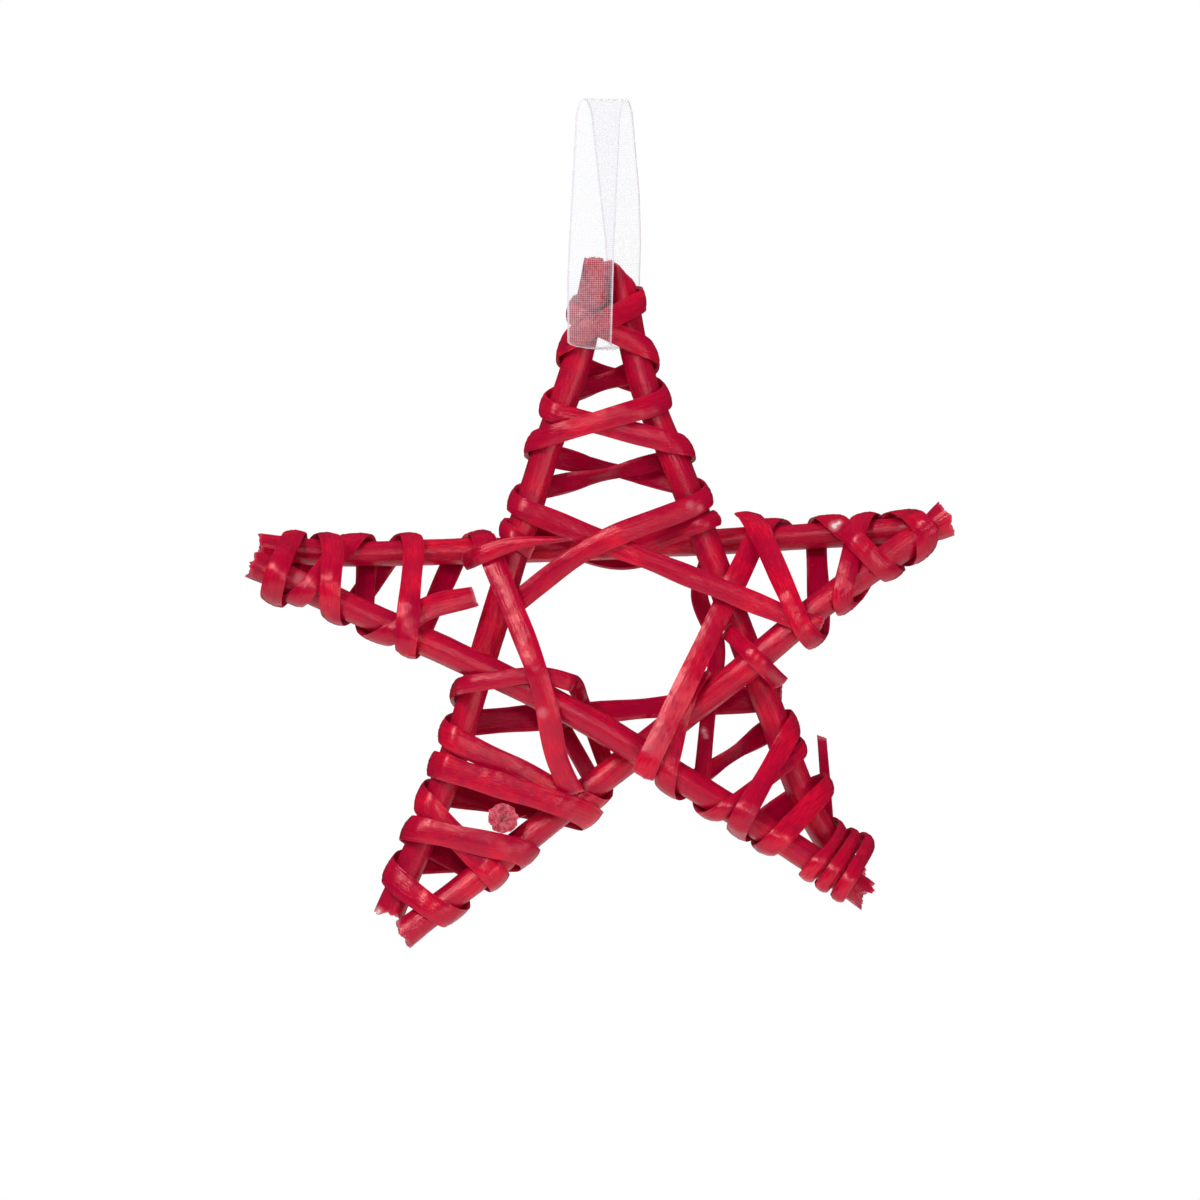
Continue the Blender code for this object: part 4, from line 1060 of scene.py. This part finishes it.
def ribbon_route(rods, winder, ribbon):
    """Middle line, facing and width of the ribbon: over the top, down in front of the star's tip,
    through between the two top rods, gathered to fit there, and up again behind."""
    left, right = (rods[name].route[rods[name].at(GAP_STATION)] for name in (TL, TR))
    gap = (left + right) / 2
    room = right[0] - left[0] - rods[TL].radius - rods[TR].radius
    tip = max(rods[name].route[0, 2] for name in (TL, TR))
    sway_share, depth_share, rise_share = RIBBON_THROAT
    strands = {}
    for face, sway in RIBBON_SWAY.items():
        x = gap[0] + sway + np.linspace(-0.5, 0.5, 41) * ribbon.width
        spots = np.stack(np.meshgrid(x, np.linspace(gap[2], tip, 81)), axis=-1).reshape(-1, 2)
        reach = max(relief.read(spots, face).max()
                    for relief in (winder.over_strips, *winder.over_rod.values()))
        depth = -face * (reach - winder.lift + ribbon.clearance + ribbon.thickness / 2)
        strands[face] = [(gap[0] + sway, depth, tip), (gap[0] + sway, depth, gap[2] + ribbon.gather),
                         (gap[0] + sway_share * sway, depth_share * depth,
                          gap[2] + rise_share * ribbon.gather)]
    top = ribbon.spread / 2 + ribbon.thickness / 2
    crown = [(-ribbon.skew / 2 * np.sin(angle), -top * np.sin(angle),
              top * np.cos(angle) - ribbon.spread / 2) for angle in np.radians((0, 45, 90))]
    loop = [*crown, *strands[FRONT], tuple(gap), *reversed(strands[BACK])]
    loop += [(-x, -y, z) for x, y, z in reversed(crown)]
    line, = evened(smooth_route(loop, TRACE_STEP))
    sideways = np.tile([1.0, 0.0, 0.0], (len(line), 1))
    out = unit(np.cross(sideways, unit(np.gradient(line, axis=0))))
    away = np.linalg.norm(line - gap, axis=1)
    narrow = rods[TL].radius + abs(right[1] - left[1]) / 2 + ribbon.clearance
    share = np.clip((away - narrow) / ribbon.gather, 0.0, 1.0)
    tight = room - 2 * ribbon.clearance
    width = tight + (ribbon.width - tight) * share**2 * (3 - 2 * share)
    return line, across_and_out(line, -out)[1], width


def ribbon_surface(rods, winder, ribbon, material):
    """Sheer band along its route, whose edges keep to the strands' own lines. Where it is gathered it
    is pleated: waves across it whose height makes up for the width that is lost."""
    line, out, width = (values[::3] for values in ribbon_route(rods, winder, ribbon))
    distance = along(line)
    turn = np.argmin(line[:, 2])
    tight = width.min()
    full = (width - tight) / (ribbon.width - tight)
    edges = []
    for side in (1, 2):
        front, back = (np.interp(way / MM, [spot[0] for spot in RIBBON_EDGES[face]],
                                 [spot[side] * MM for spot in RIBBON_EDGES[face]])
                       for face, way in ((FRONT, distance), (BACK, distance[-1] - distance)))
        free = np.where(np.arange(len(line)) <= turn, front, back)
        held = line[turn, 0] + (side - 1.5) * tight
        edges.append(held + (free - held) * full)
    share = np.linspace(-0.5, 0.5, 61)
    lost = 1 - (edges[1] - edges[0])[:, None] / ribbon.width
    pleats = np.sin(2 * np.pi * 3.5 * share + 0.7) * np.clip(lost, 0.0, 1.0) * 0.5 * MM
    sway = 0.10 * MM * waves(71, 2 * np.pi * share, distance[:, None], (0, 1), (30, 90))
    flat = edges[0][:, None] + (share + 0.5) * (edges[1] - edges[0])[:, None]
    points = line[:, None] + (pleats + sway * full[:, None])[..., None] * out[:, None]
    points[..., 0] = flat + points[..., 0] - line[:, None, 0]
    uv = grid_of(share * ribbon.width, distance[:, None])
    rim = np.clip((np.abs(share) - 0.448) / 0.012, 0.0, 1.0)
    # The threads are drawn closer down the front strand's left side, where it is pressed on the top arm,
    # and this whiter cover is also a painted sheen where the ribbon bulges there
    ahead = (np.arange(len(line)) <= turn)[:, None]
    below = np.clip((PRESSED_SHEEN_BELOW - points[..., 2]) / (4 * MM), 0.0, 1.0)
    pressed = ahead * below * np.clip((0.18 - share) / 0.6, 0.0, 1.0)
    piece = surface("Organza_ribbon", points, uv, material, {"selvedge": rim, "pressed": pressed},
                    around=False, capped=False)
    return piece, float(distance[-1])


def set_in_frame(piece, node):
    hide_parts(node)
    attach(piece, "root")


class WILLOW_OT_rods(Operator):
    """Lay the five dyed willow rods"""
    bl_idname = "willow.rods"
    bl_label = "Lay the rods"

    def execute(self, context):
        rods, _, _ = wound_star()
        bark = dyed_willow("dyed_peeled_willow_rod", context.scene.willow, 0.25, (0.9, 14.0))
        for seed, (name, rod) in enumerate(rods.items(), 11):
            piece = rod_surface(rod, 10 * seed, bark)
            set_in_frame(piece, name)
        return {"FINISHED"}


class WILLOW_OT_strips(Operator):
    """Wind the split-willow strips round the rods"""
    bl_idname = "willow.strips"
    bl_label = "Wind the strips"

    def execute(self, context):
        willow = context.scene.willow
        _, _, strips = wound_star()
        skein = dyed_willow("dyed_split_willow_skein", willow, 0.22, (0.6, 18.0), split=True)
        for seed, (name, line, out, width) in enumerate(strips, 31):
            piece = strip_surface(name, line, out, width, willow.strip_thickness, 10 * seed, skein)
            set_in_frame(piece, name)
        return {"FINISHED"}


class WILLOW_OT_butt_end(Operator):
    """Set the cut butt end inside the lower left arm"""
    bl_idname = "willow.butt_end"
    bl_label = "Set the butt end"

    def execute(self, context):
        willow = context.scene.willow
        rods, _, _ = wound_star()
        bark = dyed_willow("dyed_butt_end_skin", willow, 0.4, (0.9, 14.0))
        piece = butt_surface(rods[D2], willow, bark, torn_willow(willow))
        set_in_frame(piece, "Rod_butt_end")
        return {"FINISHED"}


class WILLOW_OT_ribbon(Operator):
    """Hang the star on its organza ribbon"""
    bl_idname = "willow.ribbon"
    bl_label = "Hang the ribbon"

    def execute(self, context):
        ribbon = context.scene.organza
        rods, winder, _ = wound_star()
        piece, length = ribbon_surface(rods, winder, ribbon, woven_organza(ribbon))
        set_in_frame(piece, "Ribbon_loop")
        return {"FINISHED"}


class WILLOW_OT_stage(Operator):
    """Set up the floor, the lights and the camera"""
    bl_idname = "willow.stage"
    bl_label = "Set the stage"

    def execute(self, context):
        stage = context.scene.willow_stage
        scene = context.scene
        middle = Vector(VIEW_MIDDLE)
        distance = stage.view_width * stage.lens / SENSOR_WIDTH
        camera = bpy.data.objects.new("Camera", bpy.data.cameras.new("Camera"))
        camera.data.lens = stage.lens
        camera.data.sensor_width = SENSOR_WIDTH
        camera.location = middle + Vector((0.0, -distance, 0.0))
        camera.rotation_euler = (np.pi / 2, 0.0, 0.0)
        scene.collection.objects.link(camera)
        scene.camera = camera
        scene.view_settings.view_transform = "Standard"
        for name, (setting, size, place) in LIGHTS.items():
            lamp = bpy.data.lights.new(name, "AREA")
            lamp.energy = getattr(stage, setting)
            lamp.size = size
            light = bpy.data.objects.new(name, lamp)
            light.location = middle + Vector(place)
            light.rotation_euler = (-Vector(place)).to_track_quat("-Z", "Y").to_euler()
            light.visible_glossy = name != "Top_light"
            scene.collection.objects.link(light)
        world = bpy.data.worlds.new("Studio")
        world.use_nodes = True
        tree = world.node_tree
        back = tree.nodes["Background"]
        seen, mirror, through = (add_node(tree, "LightPath", output=f"Is {kind} Ray")
                                 for kind in ("Camera", "Glossy", "Transmission"))
        way = add_node(tree, "TexCoord", output="Generated")
        depth = add_node(tree, "SeparateXYZ", [way], "Y")
        lit = add_node(tree, "MapRange", [depth, -0.1, 0.8, 0.42, 1.0])
        mirror = add_node(tree, "Math", [mirror, through], operation="SUBTRACT")
        mirror = add_node(tree, "MapRange", [mirror, 0.0, 1.0, 1.0, 0.02])
        lit = add_node(tree, "Math", [lit, mirror], operation="MULTIPLY")
        feed(back, "Color", (1.0, 1.0, 1.0))
        feed(back, "Strength", add_node(tree, "Math", [seen, lit], operation="MAXIMUM"))
        scene.world = world
        self.floor(stage)
        return {"FINISHED"}

    def floor(self, stage):
        """Small round floor of pale painted board, a disc of rings that fades out at its rim. Matt
        paint gives it a plain white with hardly any difference in tone."""
        angle = angles(FLOOR_SIDES)
        reach = np.linspace(0.0001, FLOOR_RADIUS, 15)[:, None]
        points = grid_of(reach * np.cos(angle), reach * np.sin(angle), -stage.floor_drop)
        uv = grid_of(np.append(angle, 2 * np.pi), reach)
        material, tree, shader = new_material("pale_painted_board")
        tint = add_node(tree, "Mix", {0: blotches(tree, 90.0), 6: linear("#F0F0F0"),
                                      7: linear("#F6F6F6")}, 2, data_type="RGBA")
        feed(shader, "Base Color", tint)
        feed(shader, "Roughness", 0.9)
        feed(shader, "Alpha", add_node(tree, "Attribute", output="Fac", attribute_name="there"))
        fade = np.clip((FLOOR_RADIUS - reach) / FLOOR_FADE, 0.0, 1.0)
        floor = surface("Floor", points, uv, material, {"there": fade}, capped=False)


class WILLOW_PT_panel(Panel):
    """Sizes, colours and steps of the wicker star"""
    bl_idname = "WILLOW_PT_panel"
    bl_label = "Wicker star"
    bl_space_type = "VIEW_3D"
    bl_region_type = "UI"
    bl_category = "Wicker star"

    def draw(self, context):
        for settings in (context.scene.willow, context.scene.organza, context.scene.willow_stage):
            box = self.layout.box()
            for key in settings.__annotations__:
                box.prop(settings, key)
        for operator in STEPS:
            self.layout.operator(operator.bl_idname)


STEPS = (WILLOW_OT_rods, WILLOW_OT_strips, WILLOW_OT_butt_end, WILLOW_OT_ribbon, WILLOW_OT_stage)
CLASSES = (WillowSettings, RibbonSettings, StageSettings, *STEPS, WILLOW_PT_panel)


def register():
    for kind in CLASSES:
        bpy.utils.register_class(kind)
    bpy.types.Scene.willow = PointerProperty(type=WillowSettings)
    bpy.types.Scene.organza = PointerProperty(type=RibbonSettings)
    bpy.types.Scene.willow_stage = PointerProperty(type=StageSettings)


def unregister():
    del bpy.types.Scene.willow_stage
    del bpy.types.Scene.organza
    del bpy.types.Scene.willow
    for kind in reversed(CLASSES):
        bpy.utils.unregister_class(kind)


def main():
    register()
    bpy.ops.willow.rods()
    bpy.ops.willow.strips()
    bpy.ops.willow.butt_end()
    bpy.ops.willow.ribbon()
    bpy.ops.willow.stage()


if __name__ == "__main__":
    main()
